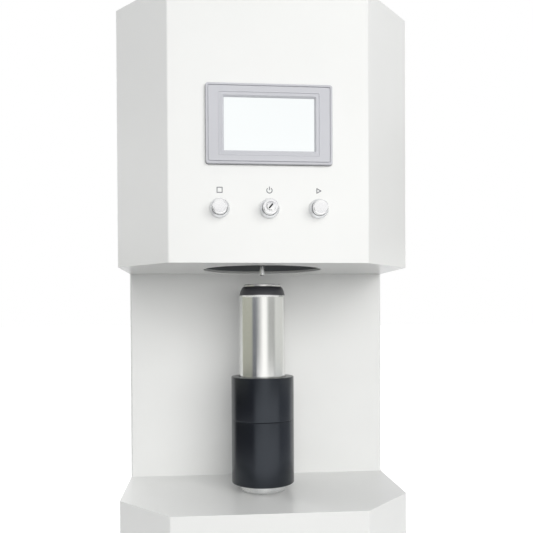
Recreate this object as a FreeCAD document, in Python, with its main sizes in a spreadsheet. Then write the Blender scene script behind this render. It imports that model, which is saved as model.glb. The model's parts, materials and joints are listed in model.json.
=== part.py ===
"""Desk-top can filling machine: a pedestal lifts an open can round a thin filling tube.

Millimetres, +Z up, the front looks along -Y. The origin lies on the floor under the middle
of the machine's bounding box. Three folded sheet-metal shells stand on each other: a base
that holds the lift cylinder, a column that holds the controls, and a head that holds the
screen, the push buttons, the hose pump and the filling nozzle.
"""

import FreeCAD, Part
import math
import os
import Sketcher
from FreeCAD import Placement, Rotation, Vector

doc = FreeCAD.newDocument("can_filling_machine")

SIZES = {
    # Housing
    "width": 350.0,
    "front_width": 223.0,
    "chamfer_depth": 70.0,
    # From the front to the lift's axis, from there to the column's face, and the column itself
    "axis_depth": 108.0,
    "bay_depth": 82.0,
    "column_depth": 140.0,
    "bay_height": 279.0,
    "head_height": 303.0,
    "sheet_wall": 2.0,
    "fold_radius": 3.0,
    "flange_width": 14.0,
    "foot_height": 18.0,
    "foot_radius": 19.0,
    "foot_bolt_radius": 4.0,
    "foot_side_margin": 12.0,
    "foot_front_margin": 8.0,
    "foot_rear_margin": 14.0,
    "tray_floor": 3.0,
    "tray_skirt": 20.0,
    "tube_side": 30.0,
    "tube_wall": 2.0,
    "crossbar_height": 20.0,
    "low_bar_drop": 45.0,
    "mid_bar_rise": 10.0,
    "top_bar_rise": 243.0,
    "screw_radius": 2.0,
    "screw_play": 0.2,
    "screw_head_radius": 4.0,
    "screw_head_height": 2.4,
    # Lift
    "lift_stroke": 90.0,
    "seat_gap": 0.3,
    "running_gap": 0.05,
    "rod_radius": 10.0,
    "stud_radius": 6.0,
    "bore_radius": 20.0,
    "barrel_wall": 3.0,
    "piston_length": 12.0,
    "piston_margin": 1.0,
    "ring_height": 4.0,
    "ring_depth": 2.8,
    "cap_side": 56.0,
    "base_cap_height": 18.0,
    "head_cap_height": 22.0,
    "nose_height": 18.0,
    "nose_radius": 17.0,
    "bush_wall": 3.0,
    "wiper_height": 5.0,
    "wiper_width": 4.0,
    "tie_rod_radius": 3.0,
    "tie_rod_offset": 21.5,
    "tie_nut_radius": 5.0,
    "tie_nut_height": 4.0,
    "plate_radius": 28.5,
    "plate_height": 9.7,
    "spigot_radius": 15.0,
    "spigot_height": 4.0,
    "nut_height": 5.0,
    "nut_radius": 9.5,
    # Can holder and can
    "holder_radius": 39.5,
    "block_height": 80.0,
    "sleeve_height": 54.0,
    "register_height": 13.7,
    "holder_edge": 0.8,
    "can_radius": 29.0,
    "can_play": 0.4,
    "can_height": 156.0,
    "can_wall": 0.4,
    "can_lip_radius": 24.0,
    "can_neck_radius": 23.0,
    "can_shoulder_height": 17.0,
    "can_neck_height": 2.6,
    "can_foot_height": 13.0,
    "can_foot_radius": 21.5,
    "can_dome_rise": 9.0,
    "can_raise": 52.0,
    # Filling nozzle and splash shroud
    "port_radius": 74.0,
    "shroud_wall": 2.0,
    "shroud_flange": 84.0,
    "shroud_flange_height": 3.0,
    "ceiling_wall": 3.0,
    "headroom": 5.0,
    "filler_radius": 3.2,
    "filler_bore": 2.4,
    "tip_gap": 11.5,
    "shelf_height": 8.0,
    "shelf_width": 90.0,
    "rib_wall": 4.0,
    "rib_height": 14.0,
    "bracket_wall": 6.0,
    "bracket_width": 250.0,
    "bracket_margin": 12.0,
    "nozzle_side": 40.0,
    "nozzle_height": 40.0,
    "nozzle_spigot_radius": 12.0,
    "gland_height": 14.0,
    "gland_flats": 22.0,
    # Hose and pump
    "hose_radius": 4.5,
    "hose_bend": 22.0,
    "gate_radius": 8.0,
    "pump_offset": 80.0,
    "pump_rise": 212.0,
    "track_radius": 27.0,
    "track_play": 0.3,
    "pump_wall": 4.0,
    "pump_leg": 30.0,
    "pump_depth": 28.0,
    "rotor_play": 1.0,
    "rotor_hub_radius": 8.0,
    "shoe_radius": 5.0,
    "shaft_radius": 4.0,
    "shaft_length": 15.0,
    "motor_radius": 27.0,
    "motor_flange_radius": 30.0,
    "motor_flange": 8.0,
    "motor_length": 70.0,
    # Rear connections
    "barb_radius": 5.0,
    "barb_reach": 26.0,
    "barb_thread_radius": 7.0,
    "barb_nut_radius": 12.0,
    "barb_nut_height": 6.0,
    "barb_tail": 22.0,
    "inlet_rise": 58.0,
    "air_radius": 4.0,
    "air_reach": 20.0,
    "air_offset": 60.0,
    "air_rise": 60.0,
    "air_valve_width": 50.0,
    "air_valve_depth": 35.0,
    "air_valve_height": 45.0,
    "coil_length": 24.0,
    "coil_height": 22.0,
    "air_hose_radius": 3.0,
    "air_hose_bend": 14.0,
    "air_port_step": 20.0,
    "air_port_rise": 9.0,
    "fitting_radius": 5.5,
    "fitting_length": 14.0,
    "mains_offset": 65.0,
    "mains_rise": 60.0,
    "mains_width": 50.0,
    "mains_height": 27.0,
    "mains_body_depth": 26.0,
    "mains_flange": 3.0,
    "mains_wall": 2.5,
    "socket_width": 24.0,
    "socket_height": 16.5,
    "socket_depth": 16.0,
    "blade_width": 4.0,
    "blade_wall": 2.0,
    "louvre_width": 70.0,
    "louvre_height": 4.0,
    "louvre_pitch": 10.0,
    # Screen and buttons
    "screen_rise": 152.0,
    "bezel_width": 140.0,
    "bezel_height": 88.0,
    "bezel_reach": 5.0,
    "bezel_radius": 3.0,
    "bezel_edge": 2.0,
    "bezel_groove": 3.4,
    "bezel_groove_depth": 0.5,
    "bezel_line": 0.8,
    "sight_rib": 4.6,
    "sight_rib_rise": 0.4,
    "window_width": 100.0,
    "window_height": 58.0,
    "window_slope": 2.8,
    "glass_margin": 2.0,
    "glass_seat": 2.0,
    "case_width": 128.0,
    "case_height": 78.0,
    "case_depth": 26.0,
    "cutout_play": 1.0,
    "clamp_width": 10.0,
    "clamp_height": 8.0,
    "clamp_spread": 90.0,
    "button_rise": 60.0,
    "button_spread": 55.0,
    "ring_radius": 11.0,
    "ring_reach": 5.0,
    "ring_land": 1.5,
    "barrel_radius": 9.5,
    "barrel_length": 18.0,
    "contact_side": 18.0,
    "contact_depth": 8.0,
    "cap_radius": 8.2,
    "cap_play": 0.3,
    "cap_reach": 16.0,
    "cap_tail": 4.0,
    "plunger_radius": 3.0,
    "press_travel": 3.0,
    "knob_reach": 17.0,
    "key_slot_width": 2.2,
    "key_slot_length": 8.5,
    "key_slot_depth": 4.0,
    "lock_nut_radius": 12.5,
    "lock_nut_height": 5.0,
    # Controls in the column
    "panel_margin": 15.0,
    "panel_wall": 2.0,
    "plc_width": 130.0,
    "plc_height": 90.0,
    "plc_depth": 60.0,
    "supply_width": 100.0,
    "supply_height": 110.0,
    "supply_depth": 42.0,
}

sheet = doc.addObject("Spreadsheet::Sheet", "sizes")
for row, (alias, number) in enumerate(SIZES.items(), 1):
    sheet.set(f"A{row}", alias)
    sheet.set(f"B{row}", str(number))
    sheet.setAlias(f"B{row}", alias)
doc.recompute()


class Size:
    """A length together with the expression that gives it from the sheet."""

    def __init__(self, value, text):
        self.value = value
        self.text = text

    def __float__(self):
        return float(self.value)

    def __add__(self, other):
        other = as_size(other)
        return Size(self.value + other.value, f"({self.text} + {other.text})")

    def __radd__(self, other):
        return as_size(other) + self

    def __sub__(self, other):
        other = as_size(other)
        return Size(self.value - other.value, f"({self.text} - {other.text})")

    def __rsub__(self, other):
        return as_size(other) - self

    def __mul__(self, other):
        other = as_size(other)
        return Size(self.value * other.value, f"({self.text} * {other.text})")

    def __rmul__(self, other):
        return as_size(other) * self

    def __truediv__(self, other):
        other = as_size(other)
        return Size(self.value / other.value, f"({self.text} / {other.text})")

    def __neg__(self):
        return Size(-self.value, f"(-1 * {self.text})")


def as_size(number):
    """A plain number or a Size, as a Size."""
    return number if isinstance(number, Size) else Size(float(number), repr(float(number)))


def root_of(size):
    """The square root of a Size."""
    return Size(size.value ** 0.5, f"sqrt({size.text})")


class Sheet:
    """Every driving dimension as an attribute."""


d = Sheet()
for alias, number in SIZES.items():
    setattr(d, alias, Size(number, f"sizes.{alias}"))

parts = {}


def bind(thing, path, size):
    """Ties one property of an object to the sheet."""
    thing.setExpression(path, as_size(size).text)


def move(thing, x=0, y=0, z=0):
    """Places an object, each coordinate bound to the sheet."""
    for path, size in (("x", x), ("y", y), ("z", z)):
        bind(thing, f"Placement.Base.{path}", size)
    return thing


def keep(name, thing):
    """Registers an object as the sub-part that goes to the file of that name."""
    thing.Label = name
    parts[name] = thing
    return thing


TURNS = {
    "Z": Rotation(),
    "Y": Rotation(Vector(1, 0, 0), -90),
    "-Y": Rotation(Vector(1, 0, 0), 90),
    "X": Rotation(Vector(0, 1, 0), 90),
}


def block(name, x, y, z, wide, deep, high):
    """A Part box whose lowest corner is at x, y, z."""
    box = doc.addObject("Part::Box", name)
    bind(box, "Length", wide)
    bind(box, "Width", deep)
    bind(box, "Height", high)
    return move(box, x, y, z)


def rod(name, radius, length, x=0, y=0, z=0, along="Z"):
    """A Part cylinder that starts at x, y, z and runs along an axis."""
    bar = doc.addObject("Part::Cylinder", name)
    bind(bar, "Radius", radius)
    bind(bar, "Height", length)
    bar.Placement = Placement(Vector(), TURNS[along])
    return move(bar, x, y, z)


def cut(name, base, tool):
    """A Part cut of one object from another."""
    made = doc.addObject("Part::Cut", name)
    made.Base = base
    made.Tool = tool
    return made


def fuse(name, pieces):
    """One solid from several that touch or overlap."""
    made = doc.addObject("Part::MultiFuse", name)
    made.Shapes = pieces
    made.Refine = True
    return made


def group(name, pieces):
    """Several separate solids of one node."""
    made = doc.addObject("Part::Compound", name)
    made.Links = pieces
    return made


PLANES = {"XY": "XY_Plane", "XZ": "XZ_Plane", "YZ": "YZ_Plane"}


def new_body(name):
    """An empty body, kept under its own name."""
    return keep(name, doc.addObject("PartDesign::Body", name))


def sketch_on(body, name, plane, offset=0):
    """A sketch on one of the body's own origin planes, moved along the plane's normal."""
    sketch = body.newObject("Sketcher::SketchObject", name)
    face = [f for f in body.Origin.OriginFeatures if f.Role == PLANES[plane]][0]
    sketch.AttachmentSupport = [(face, "")]
    sketch.MapMode = "FlatFace"
    bind(sketch, "AttachmentOffset.Base.z", offset)
    return sketch


def fix_point(sketch, geo, end, x, y):
    """Holds one point of a sketch at x, y from the origin, both bound to the sheet."""
    for kind, size in (("DistanceX", x), ("DistanceY", y)):
        size = as_size(size)
        if abs(size.value) < 1e-9:
            own = "X" if kind == "DistanceY" else "Y"
            axis = -1 if own == "X" else -2
            sketch.addConstraint(Sketcher.Constraint("PointOnObject", geo, end, axis))
            continue
        first = (-1, 1, geo, end) if size.value > 0 else (geo, end, -1, 1)
        held = sketch.addConstraint(Sketcher.Constraint(kind, *first, abs(size.value)))
        text = size if size.value > 0 else -size
        sketch.setExpression(f"Constraints[{held}]", text.text)


def polygon(sketch, points):
    """A closed outline through points, each corner bound to the sheet."""
    flat = [Vector(float(as_size(x)), float(as_size(y)), 0) for x, y in points]
    first = sketch.GeometryCount
    count = len(flat)
    for i in range(count):
        sketch.addGeometry(Part.LineSegment(flat[i], flat[(i + 1) % count]), False)
    for i in range(count):
        follower = first + (i + 1) % count
        sketch.addConstraint(Sketcher.Constraint("Coincident", first + i, 2, follower, 1))
    for i, (x, y) in enumerate(points):
        fix_point(sketch, first + i, 1, x, y)


def rectangle(sketch, left, low, wide, high):
    """A rectangle from its lower left corner."""
    right, top = left + wide, low + high
    polygon(sketch, [(left, low), (right, low), (right, top), (left, top)])


def circle(sketch, x, y, radius):
    """A circle whose centre and radius are bound to the sheet."""
    centre = Vector(float(as_size(x)), float(as_size(y)), 0)
    geo = sketch.addGeometry(Part.Circle(centre, Vector(0, 0, 1), float(as_size(radius))), False)
    fix_point(sketch, geo, 3, x, y)
    held = sketch.addConstraint(Sketcher.Constraint("Radius", geo, float(as_size(radius))))
    sketch.setExpression(f"Constraints[{held}]", as_size(radius).text)


def pad(body, name, sketch, length, back=False):
    """Adds material along the sketch's normal, or against it."""
    made = body.newObject("PartDesign::Pad", name)
    made.Profile = sketch
    made.Reversed = back
    bind(made, "Length", length)
    doc.recompute()
    return made


def pocket(body, name, sketch, length, back=False):
    """Cuts material against the sketch's normal, or along it, and makes sure that it cut some."""
    before = body.Shape.Volume
    made = body.newObject("PartDesign::Pocket", name)
    made.Profile = sketch
    made.Reversed = back
    bind(made, "Length", length)
    doc.recompute()
    if not body.Shape.Volume < before - 1e-6:
        raise RuntimeError(f"{name} in {body.Label} cuts nothing")
    return made


def turned(body, name, points, plane="XZ"):
    """A turned solid: the outline of radius and height, revolved about the upright axis."""
    sketch = sketch_on(body, f"{name}_outline", plane)
    polygon(sketch, points)
    made = body.newObject("PartDesign::Revolution", name)
    made.Profile = sketch
    made.ReferenceAxis = (sketch, ["V_Axis"])
    made.Angle = 360
    doc.recompute()
    return made


def edges_where(feature, test):
    """The names of a feature's edges that pass a test."""
    return [f"Edge{i}" for i, edge in enumerate(feature.Shape.Edges, 1) if test(edge)]


def upright(edge):
    """True for a straight edge along Z."""
    low, high = edge.Vertexes[0].Point, edge.Vertexes[-1].Point
    return abs(low.x - high.x) + abs(low.y - high.y) < 1e-6 < abs(low.z - high.z)


def rounded(body, name, feature, radius, test):
    """Rounds the edges that pass a test."""
    made = body.newObject("PartDesign::Fillet", name)
    made.Base = (feature, edges_where(feature, test))
    bind(made, "Radius", radius)
    doc.recompute()
    return made


def bevelled(body, name, feature, size, test):
    """Chamfers the edges that pass a test."""
    made = body.newObject("PartDesign::Chamfer", name)
    made.Base = (feature, edges_where(feature, test))
    bind(made, "Size", size)
    doc.recompute()
    return made


def ring_edge(radius, height):
    """A test for a full circle of that radius at that height in the body's own frame."""
    def test(edge):
        curve = edge.Curve
        return (isinstance(curve, Part.Circle) and abs(curve.Radius - float(radius)) < 1e-4
                and abs(curve.Center.z - float(height)) < 1e-4)
    return test


# Levels and planes that several pieces share
half_width = d.width / 2
depth = d.axis_depth + d.bay_depth + d.column_depth
front = (d.knob_reach - d.barb_reach - depth) / 2
back = front + depth
axis_y = front + d.axis_depth
column_front = axis_y + d.bay_depth
cover_front = back - d.sheet_wall

base_bottom = d.foot_height
tray_top = base_bottom + d.tray_floor
barrel_low = tray_top + d.base_cap_height
barrel_length = d.lift_stroke + d.piston_length + d.piston_margin * 2
head_cap_low = barrel_low + barrel_length
nose_low = head_cap_low + d.head_cap_height
deck = nose_low + d.nose_height
underside = deck + d.bay_height
roof = underside + d.head_height

plate_low = deck + d.seat_gap
block_low = plate_low + d.plate_height
block_top = block_low + d.block_height
can_low = block_top + d.register_height + d.seat_gap
can_rim = can_low + d.can_height
shroud_top = can_rim + d.lift_stroke + d.can_raise + d.headroom
lid_top = shroud_top + d.shroud_wall
shelf_top = lid_top + d.seat_gap + d.shelf_height

post_front = column_front + d.sheet_wall + d.flange_width + 1
bracket_front = post_front - d.bracket_wall
post_outer = half_width - d.sheet_wall - d.flange_width - 1

# The hose's middle line, which the pump, the bracket's gate and the inlet share
hose_ring = d.track_radius - d.track_play - d.hose_radius
pump_z = underside + d.pump_rise
inlet_x = d.pump_offset + hose_ring
mains_x = half_width - d.mains_offset
inlet_z = underside + d.inlet_rise
hose_y = bracket_front - (d.pump_depth + d.pump_wall) / 2
nozzle_z = shelf_top + d.nozzle_height / 2

# The cut front corners of the housing
chamfer_width = (d.width - d.front_width) / 2
chamfer_run = root_of(chamfer_width * chamfer_width + d.chamfer_depth * d.chamfer_depth)


def outline(inset, rear=None):
    """The housing's plan with cut front corners, moved inwards by the inset."""
    rear = back - inset if rear is None else rear
    mitre = inset * (d.chamfer_depth / (chamfer_run + chamfer_width))
    shoulder = inset * (chamfer_width / (chamfer_run + d.chamfer_depth))
    nose_x = d.front_width / 2 - mitre
    side_x = half_width - inset
    side_y = front + d.chamfer_depth + shoulder
    return [(-nose_x, front + inset), (nose_x, front + inset), (side_x, side_y),
            (side_x, rear), (-side_x, rear), (-side_x, side_y)]


def plate_edges(feature, z):
    """The number of the flat face of a feature that lies at height z and looks up or down."""
    for i, face in enumerate(feature.Shape.Faces, 1):
        box = face.BoundBox
        if box.ZLength < 1e-6 and abs(box.ZMin - float(z)) < 1e-6:
            return f"Face{i}"
    raise RuntimeError(f"no face at {z}")


def back_face(feature, y):
    """The number of the flat face of a feature that lies in the plane at depth y."""
    for i, face in enumerate(feature.Shape.Faces, 1):
        box = face.BoundBox
        if box.YLength < 1e-6 and abs(box.YMin - float(y)) < 1e-6:
            return f"Face{i}"
    raise RuntimeError(f"no face at {y}")


def folded(body, name, feature, openings):
    """Hollows a solid into sheet metal, leaving the given faces open."""
    made = body.newObject("PartDesign::Thickness", name)
    made.Base = (feature, openings)
    made.Join = 1
    made.Reversed = True
    bind(made, "Value", d.sheet_wall)
    doc.recompute()
    return made


def column_way(body, name, height, length):
    """Cuts the way from one housing to the next inside the column, and leaves a screw lip."""
    lip = d.sheet_wall + d.flange_width
    sketch = sketch_on(body, f"{name}_outline", "XY", height)
    low = column_front + lip
    rectangle(sketch, -half_width + lip, low, d.width - lip * 2, back - lip - low)
    return pocket(body, name, sketch, length)


def screw_places():
    """Where screws join the housings' lips: three at each side of the column's foot and top."""
    lip = d.sheet_wall + d.flange_width / 2
    side = half_width - lip
    reach = d.column_depth - lip * 2
    return [(sign * side, column_front + lip + reach * share)
            for sign in (-1, 1) for share in (0.06, 0.5, 0.9)]


def cover_places():
    """Where screws hold the rear cover, at the sides of the column and of the head."""
    side = half_width - d.sheet_wall - d.flange_width / 2
    column = [(deck + d.bay_height * share) for share in (0.06, 0.5, 0.94)]
    head = [(underside + d.head_height * share) for share in (0.1, 0.5, 0.94)]
    return [(sign * side, z) for sign in (-1, 1) for z in column + head]


def pan_screw(name, x, y, z, length, along="Z", flip=False):
    """A pan-head screw whose head rests at the point; the shank runs along the axis."""
    sign = -1 if flip else 1
    steps = {"Z": (0, 0, 1), "Y": (0, 1, 0), "X": (1, 0, 0)}[along]
    head_start = [c - d.screw_head_height * s if not flip else c for c, s in zip((x, y, z), steps)]
    shank_start = [c if not flip else c - length * s for c, s in zip((x, y, z), steps)]
    head = rod(f"{name}_head", d.screw_head_radius, d.screw_head_height, *head_start, along)
    shank = rod(f"{name}_shank", d.screw_radius, length, *shank_start, along)
    return fuse(name, [head, shank])


def make_base():
    """The base: a folded casing, the tray that closes it from below, and four feet."""
    body = move(new_body("base_casing"), 0, 0, base_bottom)
    high = deck - base_bottom
    plan = sketch_on(body, "base_plan", "XY")
    polygon(plan, outline(as_size(0)))
    solid = pad(body, "base_block", plan, high)
    solid = rounded(body, "base_folds", solid, d.fold_radius, upright)
    folded(body, "base_shell", solid, [plate_edges(solid, base_bottom - base_bottom)])
    column_way(body, "base_way", high, d.sheet_wall)
    holes = sketch_on(body, "deck_holes", "XY", high)
    circle(holes, 0, axis_y, d.nose_radius + d.seat_gap)
    for x, y in screw_places():
        circle(holes, x, y, d.screw_radius + d.screw_play)
    pocket(body, "deck_cuts", holes, d.sheet_wall)
    rear = sketch_on(body, "rear_holes", "XZ", -back)
    circle(rear, -d.air_offset, d.air_rise, d.air_radius + d.screw_play)
    wide = d.socket_width + d.mains_wall * 2
    high_cut = d.socket_height + d.mains_wall * 2
    rectangle(rear, mains_x - wide / 2 - d.screw_play, d.mains_rise - high_cut / 2 - d.screw_play,
              wide + d.screw_play * 2, high_cut + d.screw_play * 2)
    pocket(body, "rear_cuts", rear, d.sheet_wall, back=True)
    side = sketch_on(body, "skirt_holes", "YZ", -half_width)
    for y in skirt_screws():
        circle(side, y, d.tray_floor + d.tray_skirt / 2, d.screw_radius + d.screw_play)
    pocket(body, "skirt_cuts", side, d.width, back=True)

    tray = move(new_body("base_tray"), 0, 0, base_bottom)
    inset = d.sheet_wall + d.screw_play
    plan = sketch_on(tray, "tray_plan", "XY")
    polygon(plan, outline(inset))
    pad(tray, "tray_plate", plan, d.tray_floor)
    rim = sketch_on(tray, "skirt_plan", "XY", d.tray_floor)
    polygon(rim, outline(inset))
    polygon(rim, outline(inset + d.sheet_wall))
    solid = pad(tray, "tray_skirt", rim, d.tray_skirt)
    rounded(tray, "tray_folds", solid, d.fold_radius - d.sheet_wall, upright)
    cuts = sketch_on(tray, "tray_holes", "XY", d.tray_floor)
    for x, y in foot_places() + cap_bolt_places():
        circle(cuts, x, y, d.foot_bolt_radius + d.screw_play)
    pocket(tray, "tray_cuts", cuts, d.tray_floor)
    side = sketch_on(tray, "tray_side_holes", "YZ", -half_width)
    for y in skirt_screws():
        circle(side, y, d.tray_floor + d.tray_skirt / 2, d.screw_radius)
    pocket(tray, "tray_side_cuts", side, d.width, back=True)

    feet = []
    bolts = []
    for i, (x, y) in enumerate(foot_places()):
        cone = doc.addObject("Part::Cone", f"foot_cone_{i}")
        bind(cone, "Radius1", d.foot_radius * 0.85)
        bind(cone, "Radius2", d.foot_radius)
        bind(cone, "Height", d.foot_height)
        move(cone, x, y, 0)
        bore = rod(f"foot_bore_{i}", d.foot_bolt_radius + d.screw_play, d.foot_height, x, y, 0)
        seat = rod(f"foot_seat_{i}", d.foot_bolt_radius * 2 + 1, d.foot_height / 2, x, y, 0)
        feet.append(cut(f"foot_{i}", cone, fuse(f"foot_tool_{i}", [bore, seat])))
        bolt = rod(f"foot_bolt_{i}", d.foot_bolt_radius, d.foot_height / 2 + d.tray_floor + 8,
                   x, y, d.foot_height / 2)
        head = rod(f"foot_bolt_head_{i}", d.foot_bolt_radius * 1.6, 5, x, y, d.foot_height / 2 - 5)
        bolts.append(fuse(f"foot_screw_{i}", [bolt, head]))
    keep("rubber_feet", group("feet", feet))
    keep("foot_bolts", group("foot_screws", bolts))


def foot_places():
    """The feet stand near the base's corners, clear of its cut front corners."""
    side = half_width - d.foot_radius - d.foot_side_margin
    near = front + d.chamfer_depth + d.foot_front_margin
    far = back - d.foot_radius - d.foot_rear_margin
    return [(-side, near), (side, near), (-side, far), (side, far)]


def cap_bolt_places():
    """Four bolts hold the cylinder's base cap on the tray."""
    arm = d.cap_side / 2 - 8
    return [(sx * arm, axis_y + sy * arm * 0) for sx, sy in ((-1, 0), (1, 0))]


def skirt_screws():
    """Screws through the base's sides into the tray's skirt."""
    return [front + depth * share for share in (0.35, 0.62, 0.9)]


def make_column():
    """The column between base and head: a sheet folded to a U, with screw lips all round."""
    body = move(new_body("column_casing"), 0, 0, deck)
    fold = d.sheet_wall
    lip = fold + d.flange_width
    deep = cover_front - column_front
    plan = sketch_on(body, "column_plan", "XY")
    rectangle(plan, -half_width, column_front, d.width, deep)
    solid = pad(body, "column_block", plan, d.bay_height)

    def front_fold(edge):
        return upright(edge) and abs(edge.Vertexes[0].Point.y - float(column_front)) < 1e-6

    solid = rounded(body, "column_folds", solid, d.fold_radius, front_fold)
    folded(body, "column_shell", solid, [back_face(solid, cover_front)])
    window = sketch_on(body, "column_way_outline", "XY", d.bay_height)
    low = column_front + lip
    rectangle(window, -half_width + lip, low, d.width - lip * 2, cover_front - low)
    pocket(body, "column_way", window, d.bay_height)
    holes = sketch_on(body, "lip_holes", "XY", d.bay_height)
    for x, y in screw_places():
        circle(holes, x, y, d.screw_radius + d.screw_play)
    pocket(body, "lip_cuts", holes, d.bay_height)
    cover_lips(body, d.bay_height, as_size(0), deck)


def cover_lips(body, high, low, origin):
    """Return lips along the rear edges, to which the rear cover is screwed."""
    strips = sketch_on(body, f"{body.Label}_lips", "XZ", -cover_front)
    width = d.flange_width
    inner = half_width - d.sheet_wall
    for left in (-inner, inner - width):
        rectangle(strips, left, low + d.sheet_wall, width, high - low - d.sheet_wall * 2)
    pad(body, f"{body.Label}_rear_lips", strips, d.sheet_wall)
    holes = sketch_on(body, f"{body.Label}_lip_marks", "XZ", -cover_front)
    for x, z in cover_places():
        local = z - origin
        if 0 < local.value < high.value:
            circle(holes, x, local, d.screw_radius)
    pocket(body, f"{body.Label}_lip_holes", holes, d.sheet_wall, back=True)


def make_head():
    """The head: a folded casing with the screen and button cut-outs, and its underside."""
    body = move(new_body("head_casing"), 0, 0, underside)
    plan = sketch_on(body, "head_plan", "XY")
    polygon(plan, outline(as_size(0), cover_front))
    solid = pad(body, "head_block", plan, d.head_height)

    def fold_line(edge):
        return upright(edge) and edge.Vertexes[0].Point.y < float(cover_front) - 1

    solid = rounded(body, "head_folds", solid, d.fold_radius, fold_line)
    open_faces = [plate_edges(solid, 0), back_face(solid, cover_front)]
    folded(body, "head_shell", solid, open_faces)
    cutout = sketch_on(body, "screen_cutout", "XZ", -front)
    wide = d.case_width + d.cutout_play
    high = d.case_height + d.cutout_play
    rectangle(cutout, -wide / 2, d.screen_rise - high / 2, wide, high)
    for step in (-1, 0, 1):
        circle(cutout, d.button_spread * step, d.button_rise, d.barrel_radius + d.screw_play)
    pocket(body, "panel_cuts", cutout, d.sheet_wall)
    cover_lips(body, d.head_height, d.ceiling_wall + d.flange_width, underside)

    plate = move(new_body("head_underside"), 0, 0, underside)
    inset = d.sheet_wall + d.screw_play
    plan = sketch_on(plate, "ceiling_plan", "XY")
    polygon(plan, outline(inset, cover_front - d.sheet_wall))
    pad(plate, "ceiling_plate", plan, d.ceiling_wall)
    rim = sketch_on(plate, "ceiling_rim_plan", "XY", d.ceiling_wall)
    polygon(rim, outline(inset, cover_front - d.sheet_wall))
    polygon(rim, outline(inset + d.sheet_wall, cover_front - d.sheet_wall * 2))
    solid = pad(plate, "ceiling_rim", rim, d.flange_width)
    rounded(plate, "ceiling_folds", solid, d.fold_radius - d.sheet_wall, upright)
    column_way(plate, "ceiling_way", d.ceiling_wall, d.ceiling_wall)
    holes = sketch_on(plate, "ceiling_holes", "XY", d.ceiling_wall)
    circle(holes, 0, axis_y, d.port_radius)
    for x, y in screw_places():
        circle(holes, x, y, d.screw_radius)
    pocket(plate, "ceiling_cuts", holes, d.ceiling_wall)


def make_rear_cover():
    """The rear cover of column and head, with two banks of cooling slots, and its screws."""
    body = move(new_body("rear_cover"), 0, 0, deck)
    face = sketch_on(body, "cover_face", "XZ", -back)
    rectangle(face, -half_width, 0, d.width, roof - deck)
    pad(body, "cover_plate", face, d.sheet_wall)
    marks = sketch_on(body, "cover_marks", "XZ", -back)
    for x, z in cover_places():
        circle(marks, x, z - deck, d.screw_radius + d.screw_play)
    circle(marks, inlet_x, inlet_z - deck, d.barb_thread_radius + d.screw_play)
    pocket(body, "cover_holes", marks, d.sheet_wall, back=True)
    slots = sketch_on(body, "slot_outline", "XZ", -back)
    first = roof - deck - 30
    for side in (-1, 1):
        rectangle(slots, d.louvre_width * side * 0.75 - d.louvre_width / 2, first - d.louvre_height,
                  d.louvre_width, d.louvre_height)
    cuts = pocket(body, "slot_pair", slots, d.sheet_wall, back=True)
    rows = body.newObject("PartDesign::LinearPattern", "slot_rows")
    rows.Originals = [cuts]
    rows.Direction = (slots, ["V_Axis"])
    rows.Reversed = True
    rows.Occurrences = 8
    bind(rows, "Length", d.louvre_pitch * 7)
    body.Tip = rows
    doc.recompute()
    screws = [pan_screw(f"cover_screw_{i}", x, back, z, d.sheet_wall + 6, "Y", flip=True)
              for i, (x, z) in enumerate(cover_places())]
    keep("rear_cover_screws", group("cover_screws", screws))


def make_lip_screws():
    """The screws that join column to base and head, and the tray to the base."""
    screws = []
    stack = d.sheet_wall * 2 + 4
    for i, (x, y) in enumerate(screw_places()):
        foot = pan_screw(f"foot_lip_screw_{i}", x, y, deck + d.sheet_wall, stack, "Z", flip=True)
        top = pan_screw(f"top_lip_screw_{i}", x, y, underside - d.sheet_wall, stack, "Z")
        screws += [foot, top]
    for i, y in enumerate(skirt_screws()):
        z = base_bottom + d.tray_floor + d.tray_skirt / 2
        screws.append(pan_screw(f"skirt_screw_left_{i}", -half_width, y, z, stack, "X"))
        screws.append(pan_screw(f"skirt_screw_right_{i}", half_width, y, z, stack, "X", flip=True))
    keep("casing_screws", group("lip_screws", screws))


def make_frame():
    """The welded frame of square tube that carries the filling and pumping gear."""
    posts_top = underside + d.top_bar_rise + d.crossbar_height
    pieces = []
    for side, left in (("left", -post_outer), ("right", post_outer - d.tube_side)):
        outer = block(f"{side}_post_outer", left, post_front, tray_top,
                      d.tube_side, d.tube_side, posts_top - tray_top)
        inner = block(f"{side}_post_inner", left + d.tube_wall, post_front + d.tube_wall, tray_top,
                      d.tube_side - d.tube_wall * 2, d.tube_side - d.tube_wall * 2,
                      posts_top - tray_top)
        pieces.append(cut(f"{side}_post", outer, inner))
    span = (post_outer - d.tube_side) * 2
    levels = (("low", deck - d.low_bar_drop), ("mid", underside + d.mid_bar_rise),
              ("top", underside + d.top_bar_rise))
    for name, z in levels:
        outer = block(f"{name}_bar_outer", -span / 2, post_front, z, span, d.tube_side, d.crossbar_height)
        inner = block(f"{name}_bar_inner", -span / 2, post_front + d.tube_wall, z + d.tube_wall,
                      span, d.tube_side - d.tube_wall * 2, d.crossbar_height - d.tube_wall * 2)
        pieces.append(cut(f"{name}_bar_tube", outer, inner))
    holes = [rod(f"bracket_hole_{i}{j}", d.foot_bolt_radius, d.tube_side, x, post_front, z, "Y")
             for i, x in enumerate(bracket_bolt_x()) for j, z in enumerate(bracket_bolt_z())]
    keep("frame", cut("drilled_frame", fuse("welded_frame", pieces), fuse("bracket_hole_tools", holes)))


def bracket_bolt_x():
    """The bracket's bolts stand near its side edges."""
    side = d.bracket_width / 2 - d.bracket_margin
    return [-side, side]


def tie_places():
    """The four tie rods of the lift cylinder."""
    arm = d.tie_rod_offset
    return [(sx * arm, axis_y + sy * arm) for sx in (-1, 1) for sy in (-1, 1)]


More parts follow.
